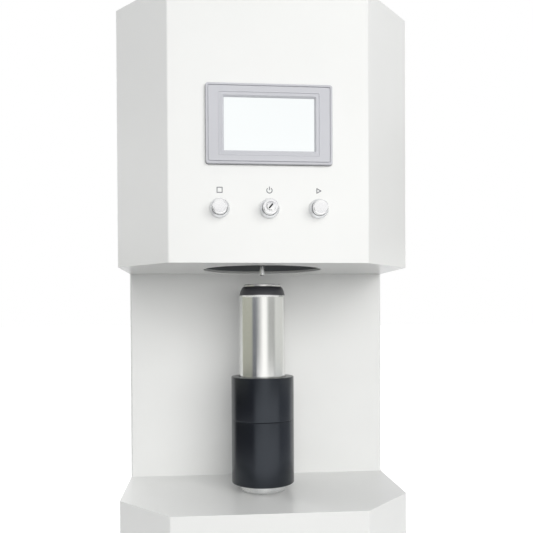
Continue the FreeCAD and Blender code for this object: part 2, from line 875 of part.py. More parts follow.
def cap_body(name, z, high):
    """A square end cap with rounded corners, its origin on the cylinder's axis."""
    body = move(new_body(name), 0, axis_y, z)
    plan = sketch_on(body, f"{name}_plan", "XY")
    rectangle(plan, -d.cap_side / 2, -d.cap_side / 2, d.cap_side, d.cap_side)
    solid = pad(body, f"{name}_block", plan, high)
    rounded(body, f"{name}_corners", solid, d.fold_radius, upright)
    return body


def port_hole(body, name, z):
    """The air port: a hole from the cap's rear face towards its middle."""
    sketch = sketch_on(body, f"{name}_outline", "XZ", -d.cap_side / 2)
    circle(sketch, 0, z, d.air_hose_radius)
    pocket(body, name, sketch, d.cap_side / 2 - d.rod_radius - d.bush_wall - 1, back=True)


def make_cylinder():
    """The fixed half of the lift: two caps drawn together on a barrel by four tie rods."""
    base = cap_body("cylinder_base_cap", tray_top, d.base_cap_height)
    port_hole(base, "base_port", d.base_cap_height / 2)
    marks = sketch_on(base, "base_cap_holes", "XY")
    for x, y in cap_bolt_places():
        circle(marks, x, y - axis_y, d.foot_bolt_radius)
    pocket(base, "base_cap_cuts", marks, d.base_cap_height - d.fold_radius, back=True)
    ties = sketch_on(base, "base_tie_holes", "XY", d.base_cap_height)
    for x, y in tie_places():
        circle(ties, x, y - axis_y, d.tie_rod_radius + d.running_gap)
    pocket(base, "base_tie_cuts", ties, d.base_cap_height / 2)

    barrel = move(new_body("cylinder_barrel"), 0, axis_y, barrel_low)
    outer = d.bore_radius + d.barrel_wall
    turned(barrel, "barrel_tube", [(d.bore_radius, 0), (outer, 0), (outer, barrel_length),
                                   (d.bore_radius, barrel_length)])

    head = cap_body("cylinder_head_cap", head_cap_low, d.head_cap_height)
    nose = sketch_on(head, "nose_plan", "XY", d.head_cap_height)
    circle(nose, 0, 0, d.nose_radius)
    pad(head, "nose", nose, d.nose_height)
    port_hole(head, "head_port", d.head_cap_height / 2)
    bore = sketch_on(head, "head_bore", "XY", d.head_cap_height + d.nose_height)
    circle(bore, 0, 0, d.rod_radius + d.bush_wall)
    pocket(head, "bush_seat", bore, d.head_cap_height + d.nose_height)
    ties = sketch_on(head, "head_tie_holes", "XY", d.head_cap_height)
    for x, y in tie_places():
        circle(ties, x, y - axis_y, d.tie_rod_radius + d.running_gap)
    pocket(head, "head_tie_cuts", ties, d.head_cap_height)

    bore_out = d.rod_radius + d.bush_wall - d.running_gap / 5
    bush_high = d.head_cap_height + d.nose_height - d.wiper_height
    bush = move(new_body("rod_bush"), 0, axis_y, head_cap_low)
    bore_in = d.rod_radius + d.running_gap
    turned(bush, "bush_tube", [(bore_in, 0), (bore_out, 0), (bore_out, bush_high), (bore_in, bush_high)])
    wiper = move(new_body("rod_wiper"), 0, axis_y, head_cap_low + bush_high)
    lip_in = d.rod_radius + d.seat_gap
    turned(wiper, "wiper_ring", [(lip_in + 1, 0), (bore_out, 0), (bore_out, d.wiper_height * 0.8),
                                 (lip_in, d.wiper_height * 0.9), (lip_in, d.wiper_height * 0.6)])

    low = tray_top + d.base_cap_height / 2
    rods = [rod(f"tie_rod_{i}", d.tie_rod_radius, nose_low + d.tie_nut_height + 2 - low, x, y, low)
            for i, (x, y) in enumerate(tie_places())]
    keep("tie_rods", group("ties", rods))
    nuts = []
    for i, (x, y) in enumerate(tie_places()):
        nuts.append(hex_nut(f"tie_nut_{i}", d.tie_nut_radius, d.tie_rod_radius + d.running_gap,
                            d.tie_nut_height, x, y, nose_low))
    keep("tie_rod_nuts", group("tie_nuts", nuts))

    bolts = []
    for i, (x, y) in enumerate(cap_bolt_places()):
        shank = rod(f"cap_bolt_shank_{i}", d.foot_bolt_radius - d.running_gap,
                    d.tray_floor + d.base_cap_height / 2, x, y, base_bottom)
        head = rod(f"cap_bolt_head_{i}", d.foot_bolt_radius * 1.6, 4, x, y, base_bottom - 4)
        bolts.append(fuse(f"cap_bolt_{i}", [shank, head]))
    keep("cylinder_bolts", group("cap_bolts", bolts))


def hex_nut(name, radius, bore, high, x, y, z, along="Z"):
    """A hexagon nut on an axis, with its bore."""
    prism = doc.addObject("Part::Prism", f"{name}_prism")
    prism.Polygon = 6
    bind(prism, "Circumradius", radius)
    bind(prism, "Height", high)
    prism.Placement = Placement(Vector(), TURNS[along])
    move(prism, x, y, z)
    return cut(name, prism, rod(f"{name}_bore", bore, high, x, y, z, along))


def make_lift():
    """The moving half of the lift: piston, rod, lift plate, holder block and can sleeve."""
    piston = move(new_body("piston"), 0, axis_y, barrel_low + d.piston_margin)
    stud = d.stud_radius + d.running_gap
    skin = d.bore_radius - d.seat_gap
    groove = d.bore_radius - d.ring_depth
    ring_low = (d.piston_length - d.ring_height) / 2
    ring_high = ring_low + d.ring_height
    turned(piston, "piston_disc", [
        (stud, 0), (skin, 0), (skin, ring_low), (groove, ring_low), (groove, ring_high),
        (skin, ring_high), (skin, d.piston_length), (stud, d.piston_length)])
    seal = move(new_body("piston_seal"), 0, axis_y, barrel_low + d.piston_margin)
    edge = d.bore_radius - d.running_gap
    inner = groove + d.running_gap
    low = ring_low + d.running_gap
    high = ring_high - d.running_gap
    turned(seal, "seal_ring", [(inner, low), (edge, low), (edge, high), (inner, high)])

    shaft = move(new_body("piston_rod"), 0, axis_y, barrel_low + d.piston_margin)
    shoulder = plate_low - barrel_low - d.piston_margin
    nut_top = d.plate_height + d.spigot_height + d.nut_height
    end = shoulder + nut_top + 2
    solid = turned(shaft, "rod_profile", [
        (0, 0), (d.stud_radius, 0), (d.stud_radius, d.piston_length), (d.rod_radius, d.piston_length),
        (d.rod_radius, shoulder), (d.stud_radius, shoulder), (d.stud_radius, end), (0, end)])
    bevelled(shaft, "rod_end", solid, d.holder_edge, ring_edge(d.stud_radius, end))

    plate = move(new_body("lift_plate"), 0, axis_y, plate_low)
    rise = d.plate_height + d.spigot_height
    solid = turned(plate, "plate_disc", [
        (stud, 0), (d.plate_radius, 0), (d.plate_radius, d.plate_height),
        (d.spigot_radius, d.plate_height), (d.spigot_radius, rise), (stud, rise)])
    bevelled(plate, "plate_edge", solid, d.holder_edge, ring_edge(d.plate_radius, 0))
    nut = hex_nut("rod_nut_hex", d.nut_radius, stud, d.nut_height, 0, axis_y, plate_low + rise)
    keep("rod_nut", nut)

    lower = move(new_body("holder_block"), 0, axis_y, block_low)
    bore = d.can_radius + d.can_play
    register = bore - d.running_gap
    recess = d.spigot_radius + d.running_gap
    nut_room = d.spigot_height + d.nut_height + 4
    top = d.block_height
    solid = turned(lower, "block_profile", [
        (0, nut_room), (recess, nut_room), (recess, 0), (d.holder_radius, 0), (d.holder_radius, top),
        (register, top), (register, top + d.register_height), (0, top + d.register_height)])

    def block_rims(edge):
        return ring_edge(d.holder_radius, 0)(edge) or ring_edge(d.holder_radius, top)(edge)

    bevelled(lower, "block_edges", solid, d.holder_edge, block_rims)
    sleeve = move(new_body("can_sleeve"), 0, axis_y, block_top)
    solid = turned(sleeve, "sleeve_profile", [
        (bore, 0), (d.holder_radius, 0), (d.holder_radius, d.sleeve_height), (bore, d.sleeve_height)])

    def sleeve_rims(edge):
        rims = [(d.holder_radius, 0), (d.holder_radius, d.sleeve_height), (bore, d.sleeve_height)]
        return any(ring_edge(*rim)(edge) for rim in rims)

    bevelled(sleeve, "sleeve_edges", solid, d.holder_edge, sleeve_rims)


def can_shoulder(inset):
    """The can's domed shoulder from the wall to the neck, moved inwards by the inset.

    The radius falls from the wall's to the neck's as a mix of a straight cone and a quarter
    ellipse, while the height rises evenly.
    """
    drop = d.can_radius - d.can_neck_radius
    rise = d.can_shoulder_height - d.can_neck_height
    points = []
    for share in (0.0, 0.2, 0.4, 0.58, 0.74, 0.87, 0.96):
        bow = math.sqrt(1 - share ** 2)
        steep = drop.value * (0.15 + 0.85 * share / bow)
        length = math.hypot(rise.value, steep)
        points.append((d.can_neck_radius + drop * (0.15 * (1 - share) + 0.85 * bow) - inset * (rise.value / length),
                       d.can_height - d.can_shoulder_height + rise * share - inset * (steep / length)))
    return points


def make_can():
    """The thin drawn can, open at its neck: domed base, straight wall, domed shoulder and curl."""
    body = move(new_body("can"), 0, axis_y, can_low)
    wall = d.can_wall
    edge = d.can_radius
    foot = d.can_foot_radius
    neck = d.can_neck_radius
    lip = d.can_lip_radius
    top = d.can_height
    collar = top - d.can_neck_height
    heel = d.can_foot_height
    dome = d.can_dome_rise
    outer = [
        (0, dome), (foot * 0.5, dome * 0.78), (foot * 0.84, dome * 0.24), (foot, 0), (foot + wall * 4, 0.4),
        (edge - heel * 0.17, heel * 0.54), (edge - heel * 0.04, heel * 0.77), (edge, heel)]
    outer += can_shoulder(as_size(0))
    outer += [(neck, collar), (neck, top - 1.4), (lip, top - 0.9), (lip, top - 0.3), (lip - 0.5, top)]
    inner = [(neck - wall, top), (neck - wall, collar - wall)]
    inner += can_shoulder(wall)[::-1]
    inner += [
        (edge - wall, heel), (edge - heel * 0.04 - wall, heel * 0.77 + wall / 4),
        (edge - heel * 0.17 - wall, heel * 0.54 + wall / 2), (foot + wall * 3.5, 0.4 + wall), (foot, wall),
        (foot * 0.84 + wall / 2, dome * 0.24 + wall), (foot * 0.5, dome * 0.78 + wall), (0, dome + wall)]
    turned(body, "can_wall_profile", outer + inner)


def make_shroud():
    """The splash shroud that stands over the round port, closed by a lid with a central hole."""
    body = move(new_body("splash_shroud"), 0, axis_y, underside + d.ceiling_wall)
    tall = lid_top - underside - d.ceiling_wall
    wall = d.shroud_wall
    bore = d.port_radius
    hole = d.nozzle_spigot_radius + d.seat_gap
    turned(body, "shroud_profile", [
        (bore, 0), (d.shroud_flange, 0), (d.shroud_flange, d.shroud_flange_height),
        (bore + wall, d.shroud_flange_height), (bore + wall, tall), (hole, tall),
        (hole, tall - wall), (bore, tall - wall)])


def make_nozzle():
    """The filling nozzle: bracket, block, gland nut and the thin tube that enters the can."""
    body = move(new_body("nozzle_bracket"), 0, bracket_front, 0)
    low = underside + d.mid_bar_rise
    high = underside + d.top_bar_rise + d.crossbar_height
    face = sketch_on(body, "bracket_face", "XZ", -d.bracket_wall)
    rectangle(face, -d.bracket_width / 2, low, d.bracket_width, high - low)
    solid = pad(body, "bracket_plate", face, d.bracket_wall)
    rounded(body, "bracket_corners", solid, d.shelf_height, plate_corner)
    reach = bracket_front - axis_y + d.nozzle_side / 2 + 5
    shelf = sketch_on(body, "shelf_face", "XZ", 0)
    half = d.shelf_width / 2
    inner = half - d.rib_wall
    floor = shelf_top - d.shelf_height
    rim = shelf_top + d.rib_height
    polygon(shelf, [(-half, floor), (half, floor), (half, rim), (inner, rim), (inner, shelf_top),
                    (-inner, shelf_top), (-inner, rim), (-half, rim)])
    pad(body, "shelf", shelf, reach)
    bore = sketch_on(body, "shelf_bore", "XY", shelf_top)
    circle(bore, 0, axis_y - bracket_front, d.nozzle_spigot_radius + d.running_gap)
    pocket(body, "shelf_cut", bore, d.shelf_height)
    marks = sketch_on(body, "bracket_holes", "XZ", -d.bracket_wall)
    for x in bracket_bolt_x():
        for z in bracket_bolt_z():
            circle(marks, x, z, d.foot_bolt_radius + d.screw_play)
    circle(marks, inlet_x, inlet_z, d.gate_radius)
    circle(marks, d.pump_offset, pump_z, d.shaft_radius + d.rotor_play)
    pocket(body, "bracket_cuts", marks, d.bracket_wall, back=True)

    bolts = []
    for i, x in enumerate(bracket_bolt_x()):
        for j, z in enumerate(bracket_bolt_z()):
            shank = rod(f"bracket_shank_{i}{j}", d.foot_bolt_radius - d.running_gap,
                        d.bracket_wall + d.tube_side, x, bracket_front, z, "Y")
            head = rod(f"bracket_head_{i}{j}", d.foot_bolt_radius * 1.6, 4, x, bracket_front - 4, z, "Y")
            bolts.append(fuse(f"bracket_bolt_{i}{j}", [shank, head]))
    keep("bracket_bolts", group("bracket_screws", bolts))

    side = d.nozzle_side
    nozzle = move(new_body("nozzle_block"), 0, axis_y, shelf_top)
    plan = sketch_on(nozzle, "nozzle_plan", "XY")
    rectangle(plan, -side / 2, -side / 2, side, side)
    solid = pad(nozzle, "nozzle_cube", plan, d.nozzle_height)
    rounded(nozzle, "nozzle_corners", solid, d.fold_radius, upright)
    neck = sketch_on(nozzle, "spigot_plan", "XY")
    circle(neck, 0, 0, d.nozzle_spigot_radius)
    drop = shelf_top - shroud_top + 6
    pad(nozzle, "nozzle_spigot", neck, drop, back=True)
    way = sketch_on(nozzle, "product_way", "XY", -drop)
    circle(way, 0, 0, d.filler_radius + d.running_gap)
    pocket(nozzle, "tube_seat", way, drop + d.nozzle_height / 2, back=True)
    port = sketch_on(nozzle, "hose_port", "XZ", -side / 2)
    circle(port, 0, d.nozzle_height / 2, d.filler_bore)
    pocket(nozzle, "hose_way", port, side / 2 - d.filler_bore, back=True)

    gland_low = shelf_top - drop - d.gland_height
    gland = hex_nut("gland_hex", d.gland_flats / root_of(as_size(3)), d.filler_radius + d.running_gap,
                    d.gland_height, 0, axis_y, gland_low)
    keep("nozzle_gland", gland)
    tip = can_rim + d.tip_gap
    tube = move(new_body("filling_tube"), 0, axis_y, tip)
    tall = shelf_top + d.nozzle_height / 2 - tip
    turned(tube, "tube_profile", [(d.filler_bore, 0.5), (d.filler_radius - 0.3, 0), (d.filler_radius, 0.6),
                                  (d.filler_radius, tall), (d.filler_bore, tall)])


def plate_corner(edge):
    """True for the straight edges that run through the plate at its lower corners."""
    low, high = edge.Vertexes[0].Point, edge.Vertexes[-1].Point
    return abs(low.x - high.x) + abs(low.z - high.z) < 1e-6 < abs(low.y - high.y)


def bracket_bolt_z():
    """The bracket is bolted to the middle and the top crossbar."""
    return [underside + rise + d.crossbar_height / 2 for rise in (d.mid_bar_rise, d.top_bar_rise)]


def bent_tube(name, points, bends, radius):
    """A round tube through points; each inner point is a corner rounded by its own bend."""
    path = [Vector(*[float(c) for c in point]) for point in points]
    edges = []
    start = path[0]
    for i, bend in enumerate(bends, 1):
        corner = path[i]
        before = (path[i - 1] - corner).normalize()
        after = (path[i + 1] - corner).normalize()
        half = before.getAngle(after) / 2
        middle = (before + after).normalize()
        centre = corner + middle * (float(bend) / math.sin(half))
        run_in = corner + before * (float(bend) / math.tan(half))
        run_out = corner + after * (float(bend) / math.tan(half))
        if (run_in - start).Length > 1e-6:
            edges.append(Part.LineSegment(start, run_in).toShape())
        edges.append(Part.Arc(run_in, centre - middle * float(bend), run_out).toShape())
        start = run_out
    edges.append(Part.LineSegment(start, path[-1]).toShape())
    wire = Part.Wire(edges)
    ring = Part.Circle(path[0], path[1] - path[0], float(radius)).toShape()
    thing = doc.addObject("Part::Feature", name)
    thing.Shape = wire.makePipeShell([Part.Wire([ring])], True, False)
    return thing


def make_pump():
    """The hose pump: a track that holds the hose round a rotor with three pressing shoes."""
    body = move(new_body("pump_housing"), d.pump_offset, bracket_front, pump_z)
    wide = d.track_radius + d.pump_wall
    leg = sketch_on(body, "pump_leg_outline", "XZ")
    rectangle(leg, -wide, -d.pump_leg, wide * 2, d.pump_leg)
    pad(body, "pump_legs", leg, d.pump_depth)
    arch = sketch_on(body, "pump_arch_outline", "XZ")
    circle(arch, 0, 0, wide)
    pad(body, "pump_arch", arch, d.pump_depth)
    track = sketch_on(body, "track_outline", "XZ", d.pump_depth)
    circle(track, 0, 0, d.track_radius)
    hollow = d.pump_depth - d.pump_wall
    pocket(body, "track", track, hollow)
    ways = sketch_on(body, "leg_ways", "XZ", d.pump_depth)
    rectangle(ways, -d.track_radius, -d.pump_leg, d.track_radius * 2, d.pump_leg)
    pocket(body, "leg_cut", ways, hollow)
    eye = sketch_on(body, "shaft_eye", "XZ", d.pump_depth)
    circle(eye, 0, 0, d.shaft_radius + d.rotor_play)
    pocket(body, "shaft_cut", eye, d.pump_depth)

    rotor = move(new_body("pump_rotor"), d.pump_offset, bracket_front, pump_z)
    start = d.pump_wall + d.rotor_play
    length = d.pump_depth - d.pump_wall - d.rotor_play * 2
    hub = sketch_on(rotor, "hub_outline", "XZ", start)
    circle(hub, 0, 0, d.rotor_hub_radius)
    pad(rotor, "hub", hub, length)
    spindle = sketch_on(rotor, "shaft_outline", "XZ", start)
    circle(spindle, 0, 0, d.shaft_radius)
    pad(rotor, "shaft", spindle, start + d.shaft_length, back=True)
    shoe = sketch_on(rotor, "shoe_outline", "XZ", start)
    circle(shoe, 0, hose_ring - d.hose_radius - d.rotor_play - d.shoe_radius, d.shoe_radius)
    first = pad(rotor, "shoe", shoe, length)
    shoes = rotor.newObject("PartDesign::PolarPattern", "shoes")
    shoes.Originals = [first]
    shoes.Axis = (shoe, ["N_Axis"])
    shoes.Angle = 360
    shoes.Occurrences = 3
    rotor.Tip = shoes
    doc.recompute()

    motor = new_body("pump_motor")
    motor.Placement = Placement(Vector(), TURNS["Y"])
    move(motor, d.pump_offset, post_front, pump_z)
    bore = d.shaft_radius + d.running_gap
    hole = d.shaft_length - d.bracket_wall + 1
    end = d.motor_flange + d.motor_length
    solid = turned(motor, "motor_profile", [
        (bore, 0), (d.motor_flange_radius, 0), (d.motor_flange_radius, d.motor_flange),
        (d.motor_radius, d.motor_flange), (d.motor_radius, end), (0, end), (0, hole), (bore, hole)])
    bevelled(motor, "motor_edge", solid, d.rotor_play * 2, ring_edge(d.motor_radius, end))

    route = [(inlet_x, cover_front - d.barb_tail, inlet_z), (inlet_x, hose_y, inlet_z),
             (inlet_x, hose_y, pump_z + hose_ring), (d.pump_offset - hose_ring, hose_y, pump_z + hose_ring),
             (d.pump_offset - hose_ring, hose_y, nozzle_z), (0, hose_y, nozzle_z),
             (0, axis_y + d.nozzle_side / 2, nozzle_z)]
    bends = [d.hose_bend, hose_ring, hose_ring, d.hose_bend, d.hose_bend]
    keep("product_hose", bent_tube("hose_route", route, bends, d.hose_radius))


def make_rear_connections():
    """The product inlet barb with its nut, the compressed air inlet and the mains inlet."""
    barb = new_body("product_inlet")
    barb.Placement = Placement(Vector(), TURNS["Y"])
    move(barb, inlet_x, cover_front, inlet_z)
    bore = d.filler_bore
    thread = d.barb_thread_radius
    flange = d.sheet_wall + 3
    end = d.sheet_wall + d.barb_reach
    tail = -d.barb_tail
    seat = d.barb_radius
    points = [(bore, tail), (seat - 1.2, tail), (seat - 1.2, -8), (thread, -8), (thread, d.sheet_wall),
              (thread + 3, d.sheet_wall), (thread + 3, flange), (seat - 1, flange)]
    tooth = (end - flange) / 4
    for i in range(1, 4):
        points += [(seat, flange + tooth * i), (seat - 1, flange + tooth * i + 0.6)]
    points += [(seat - 1, end), (bore, end)]
    turned(barb, "barb_profile", points)
    nut = hex_nut("inlet_nut_hex", d.barb_nut_radius, thread + d.running_gap, d.barb_nut_height,
                  inlet_x, cover_front - d.barb_nut_height, inlet_z, "Y")
    keep("inlet_nut", nut)

    air = new_body("air_inlet")
    air.Placement = Placement(Vector(), TURNS["Y"])
    move(air, -d.air_offset, back, base_bottom + d.air_rise)
    stem = d.air_radius
    push = d.air_hose_radius + d.screw_play
    turned(air, "air_profile", [
        (push, -d.sheet_wall), (stem, -d.sheet_wall), (stem, 0), (stem + 4, 0), (stem + 4, 7),
        (stem + 2.5, 8), (stem + 2.5, d.air_reach - 3), (stem + 1.6, d.air_reach - 2.4),
        (stem + 1.6, d.air_reach), (push, d.air_reach)])

    mains = move(new_body("mains_inlet"), mains_x, back, base_bottom + d.mains_rise)
    rim = sketch_on(mains, "mains_rim", "XZ")
    rectangle(rim, -d.mains_width / 2, -d.mains_height / 2, d.mains_width, d.mains_height)
    solid = pad(mains, "mains_flange_plate", rim, d.mains_flange, back=True)
    rounded(mains, "mains_corners", solid, d.bezel_radius, plate_corner)
    wide = d.socket_width + d.mains_wall * 2
    high = d.socket_height + d.mains_wall * 2
    shell = sketch_on(mains, "mains_body", "XZ")
    rectangle(shell, -wide / 2, -high / 2, wide, high)
    pad(mains, "mains_shell", shell, d.mains_body_depth)
    mouth = sketch_on(mains, "socket_outline", "XZ", -d.mains_flange)
    cant = d.socket_height / 4
    left, low = -d.socket_width / 2, -d.socket_height / 2
    polygon(mouth, [(left, low), (-left, low), (-left, -low - cant), (-left - cant, -low),
                    (left + cant, -low), (left, -low - cant)])
    pocket(mains, "socket", mouth, d.socket_depth, back=True)
    blades = sketch_on(mains, "blade_outline", "XZ", d.socket_depth - d.mains_flange)
    for x, z in ((-7, -2), (0, 2), (7, -2)):
        rectangle(blades, as_size(x) - d.blade_wall / 2, as_size(z) - d.blade_width / 2,
                  d.blade_wall, d.blade_width)
    pad(mains, "blades", blades, d.socket_depth - 3, back=True)


def make_air_gear():
    """The valve that drives the lift, its coil, the push-in fittings and the two air hoses."""
    valve_x = -d.air_offset
    valve_z = base_bottom + d.air_rise
    valve_back = back - d.sheet_wall
    valve_front = valve_back - d.air_valve_depth
    body = move(new_body("air_valve"), valve_x, valve_back, valve_z)
    face = sketch_on(body, "valve_face", "XZ")
    rectangle(face, -d.air_valve_width / 2, -d.air_valve_height / 2, d.air_valve_width, d.air_valve_height)
    solid = pad(body, "valve_block", face, d.air_valve_depth)
    bevelled(body, "valve_edges", solid, d.holder_edge * 2, plate_corner)
    coil = move(new_body("valve_coil"), valve_x, valve_back, valve_z + d.air_valve_height / 2)
    foot = sketch_on(coil, "coil_foot", "XY")
    rectangle(foot, -d.coil_length / 2, -d.air_valve_depth + 4, d.coil_length, d.air_valve_depth - 8)
    solid = pad(coil, "coil_block", foot, d.coil_height)
    rounded(coil, "coil_corners", solid, d.fold_radius, upright)

    ports = (("upper", head_cap_low + d.head_cap_height / 2, 1), ("lower", tray_top + d.base_cap_height / 2, -1))
    cap_rear = axis_y + d.cap_side / 2
    fittings = []
    hoses = []
    for name, z, side in ports:
        x = valve_x + d.air_port_step / 2 * side
        level = valve_z + d.air_port_rise * side
        turn = cap_rear + d.fitting_length + d.air_hose_bend * (2.8 - side * 0.6)
        fittings.append(rod(f"{name}_cap_fitting", d.fitting_radius, d.fitting_length, 0, cap_rear, z, "Y"))
        fittings.append(rod(f"{name}_valve_fitting", d.fitting_radius, d.fitting_length, x,
                            valve_front - d.fitting_length, level, "Y"))
        route = [(0, cap_rear + d.fitting_length, z), (0, turn, z), (0, turn, level), (x, turn, level),
                 (x, valve_front - d.fitting_length, level)]
        hoses.append(bent_tube(f"{name}_air_route", route, [d.air_hose_bend] * 3, d.air_hose_radius))
    keep("air_fittings", group("fittings", fittings))
    keep("air_hoses", group("air_routes", hoses))


def centred(sketch, wide, high):
    """Adds a rectangle about the sketch's origin."""
    rectangle(sketch, -wide / 2, -high / 2, wide, high)


def make_screen():
    """The touch screen: bezel, glass, the case behind the panel and its four clamps."""
    level = underside + d.screen_rise
    bezel = move(new_body("screen_bezel"), 0, front, level)
    face = sketch_on(bezel, "bezel_face", "XZ")
    rectangle(face, -d.bezel_width / 2, -d.bezel_height / 2, d.bezel_width, d.bezel_height)
    solid = pad(bezel, "bezel_plate", face, d.bezel_reach)
    solid = rounded(bezel, "bezel_corners", solid, d.bezel_radius, plate_corner)

    def outer_rim(edge):
        box = edge.BoundBox
        return box.YLength < 1e-6 and abs(box.YMin + float(d.bezel_reach)) < 1e-6

    bevelled(bezel, "bezel_edge", solid, d.bezel_edge, outer_rim)
    groove = sketch_on(bezel, "groove_outline", "XZ", d.bezel_reach)
    centred(groove, d.bezel_width - d.bezel_groove * 2, d.bezel_height - d.bezel_groove * 2)
    centred(groove, d.bezel_width - d.bezel_groove * 2 - d.bezel_line * 2,
            d.bezel_height - d.bezel_groove * 2 - d.bezel_line * 2)
    pocket(bezel, "edge_groove", groove, d.bezel_groove_depth)
    rib = sketch_on(bezel, "sight_rib_outline", "XZ", d.bezel_reach)
    centred(rib, d.window_width + d.window_slope + d.sight_rib * 2,
            d.window_height + d.window_slope + d.sight_rib * 2)
    centred(rib, d.window_width + d.window_slope + d.sight_rib * 2 - d.bezel_line * 2,
            d.window_height + d.window_slope + d.sight_rib * 2 - d.bezel_line * 2)
    pad(bezel, "sight_rib_line", rib, d.sight_rib_rise)
    window = sketch_on(bezel, "window_outline", "XZ", d.bezel_reach)
    wide = d.window_width + d.window_slope
    high = d.window_height + d.window_slope
    rectangle(window, -wide / 2, -high / 2, wide, high)
    pocket(bezel, "window_step", window, d.bezel_reach / 3)
    through = sketch_on(bezel, "sight_outline", "XZ", d.bezel_reach)
    rectangle(through, -d.window_width / 2, -d.window_height / 2, d.window_width, d.window_height)
    pocket(bezel, "sight", through, d.bezel_reach)
    seat = sketch_on(bezel, "glass_seat_outline", "XZ")
    pane_wide = d.window_width + d.glass_margin * 2
    pane_high = d.window_height + d.glass_margin * 2
    rectangle(seat, -pane_wide / 2 - d.screw_play, -pane_high / 2 - d.screw_play,
              pane_wide + d.screw_play * 2, pane_high + d.screw_play * 2)
    pocket(bezel, "glass_seat_cut", seat, d.glass_seat, back=True)

    glass = move(new_body("screen_glass"), 0, front, level)
    pane = sketch_on(glass, "glass_outline", "XZ")
    rectangle(pane, -pane_wide / 2, -pane_high / 2, pane_wide, pane_high)
    pad(glass, "glass_pane", pane, d.glass_seat)

    case = move(new_body("screen_case"), 0, front, level)
    rear = sketch_on(case, "case_outline", "XZ")
    rectangle(rear, -d.case_width / 2, -d.case_height / 2, d.case_width, d.case_height)
    solid = pad(case, "case_block", rear, d.case_depth, back=True)
    rounded(case, "case_corners", solid, d.bezel_radius, plate_corner)

    clamps = []
    for i, side in enumerate((-1, 1)):
        for j, end in enumerate((-1, 1)):
            x = d.clamp_spread / 2 * side - d.clamp_width / 2
            z = level + d.case_height / 2 if end > 0 else level - d.case_height / 2 - d.clamp_height
            clamps.append(block(f"clamp_{i}{j}", x, front + d.sheet_wall, z, d.clamp_width,
                                d.clamp_width, d.clamp_height))
    keep("screen_clamps", group("clamps", clamps))


BUTTONS = (("stop", -1), ("power", 0), ("start", 1))


def make_buttons():
    """Stop and start push buttons and the key switch between them, each in its own collar."""
    level = underside + d.button_rise
    bore = d.cap_radius + d.cap_play
    nuts = []
    contacts = []
    for name, step in BUTTONS:
        x = d.button_spread * step
        collar = new_body(f"{name}_collar")
        collar.Placement = Placement(Vector(), TURNS["-Y"])
        move(collar, x, front, level)
        turned(collar, f"{name}_collar_profile", [
            (bore, -d.barrel_length), (d.barrel_radius, -d.barrel_length), (d.barrel_radius, 0),
            (d.ring_radius, 0), (d.ring_radius, d.ring_land), (d.barrel_radius, d.ring_reach),
            (bore, d.ring_reach)])
        nuts.append(hex_nut(f"{name}_nut", d.lock_nut_radius, d.barrel_radius + d.running_gap,
                            d.lock_nut_height, x, front + d.sheet_wall, level, "Y"))
        contacts.append(block(f"{name}_contact", x - d.contact_side / 2, front + d.barrel_length,
                              level - d.contact_side / 2, d.contact_side, d.contact_depth, d.contact_side))
        plunger = d.barrel_length - d.press_travel - d.seat_gap
        reach = d.cap_reach if step else d.knob_reach
        key = f"{name}_button" if step else "power_lock"
        cap = new_body(key)
        cap.Placement = Placement(Vector(), TURNS["-Y"])
        move(cap, x, front, level)
        solid = turned(cap, f"{key}_profile", [
            (0, -plunger), (d.plunger_radius, -plunger), (d.plunger_radius, -d.cap_tail),
            (d.cap_radius, -d.cap_tail), (d.cap_radius, reach), (0, reach)])
        bevelled(cap, f"{key}_edge", solid, d.holder_edge, ring_edge(d.cap_radius, reach))
        if not step:
            slot = sketch_on(cap, "key_slot_outline", "XY", reach)
            rectangle(slot, -d.key_slot_length / 2, -d.key_slot_width / 2, d.key_slot_length, d.key_slot_width)
            pocket(cap, "key_slot", slot, d.key_slot_depth)
    keep("button_nuts", group("lock_nuts", nuts))
    keep("button_contacts", group("contacts", contacts))


def make_controls():
    """The mounting panel in the column, with the controller and the power supply on it."""
    panel_y = post_front + d.tube_side
    panel = move(new_body("mounting_panel"), 0, panel_y, deck + d.panel_margin)
    high = d.bay_height - d.panel_margin * 2
    face = sketch_on(panel, "panel_face", "XZ", -d.panel_wall)
    rectangle(face, -post_outer, 0, post_outer * 2, high)
    solid = pad(panel, "panel_plate", face, d.panel_wall)
    rounded(panel, "panel_corners", solid, d.bezel_radius, plate_corner)

    device_y = panel_y + d.panel_wall
    plc = move(new_body("controller"), -d.plc_width / 2, device_y, underside - d.panel_margin - d.plc_height - 12)
    side = sketch_on(plc, "controller_side", "YZ")
    step = d.plc_height / 5
    polygon(side, [(0, 0), (d.plc_depth * 0.6, 0), (d.plc_depth * 0.6, step), (d.plc_depth, step),
                   (d.plc_depth, d.plc_height - step), (d.plc_depth * 0.6, d.plc_height - step),
                   (d.plc_depth * 0.6, d.plc_height), (0, d.plc_height)])
    pad(plc, "controller_block", side, d.plc_width)

    supply = move(new_body("power_supply"), -d.supply_width / 2, device_y, deck + d.panel_margin + 8)
    foot = sketch_on(supply, "supply_foot", "XY")
    rectangle(foot, 0, 0, d.supply_width, d.supply_depth)
    pad(supply, "supply_block", foot, d.supply_height)
    vents = sketch_on(supply, "vent_outline", "XZ", -d.supply_depth)
    rectangle(vents, d.supply_width * 0.1, d.supply_height * 0.2, d.supply_width * 0.8, d.louvre_height / 2)
    cuts = pocket(supply, "vent", vents, d.sheet_wall, back=True)
    rows = supply.newObject("PartDesign::LinearPattern", "vents")
    rows.Originals = [cuts]
    rows.Direction = (vents, ["V_Axis"])
    rows.Occurrences = 6
    bind(rows, "Length", d.supply_height * 0.6)
    supply.Tip = rows
    doc.recompute()


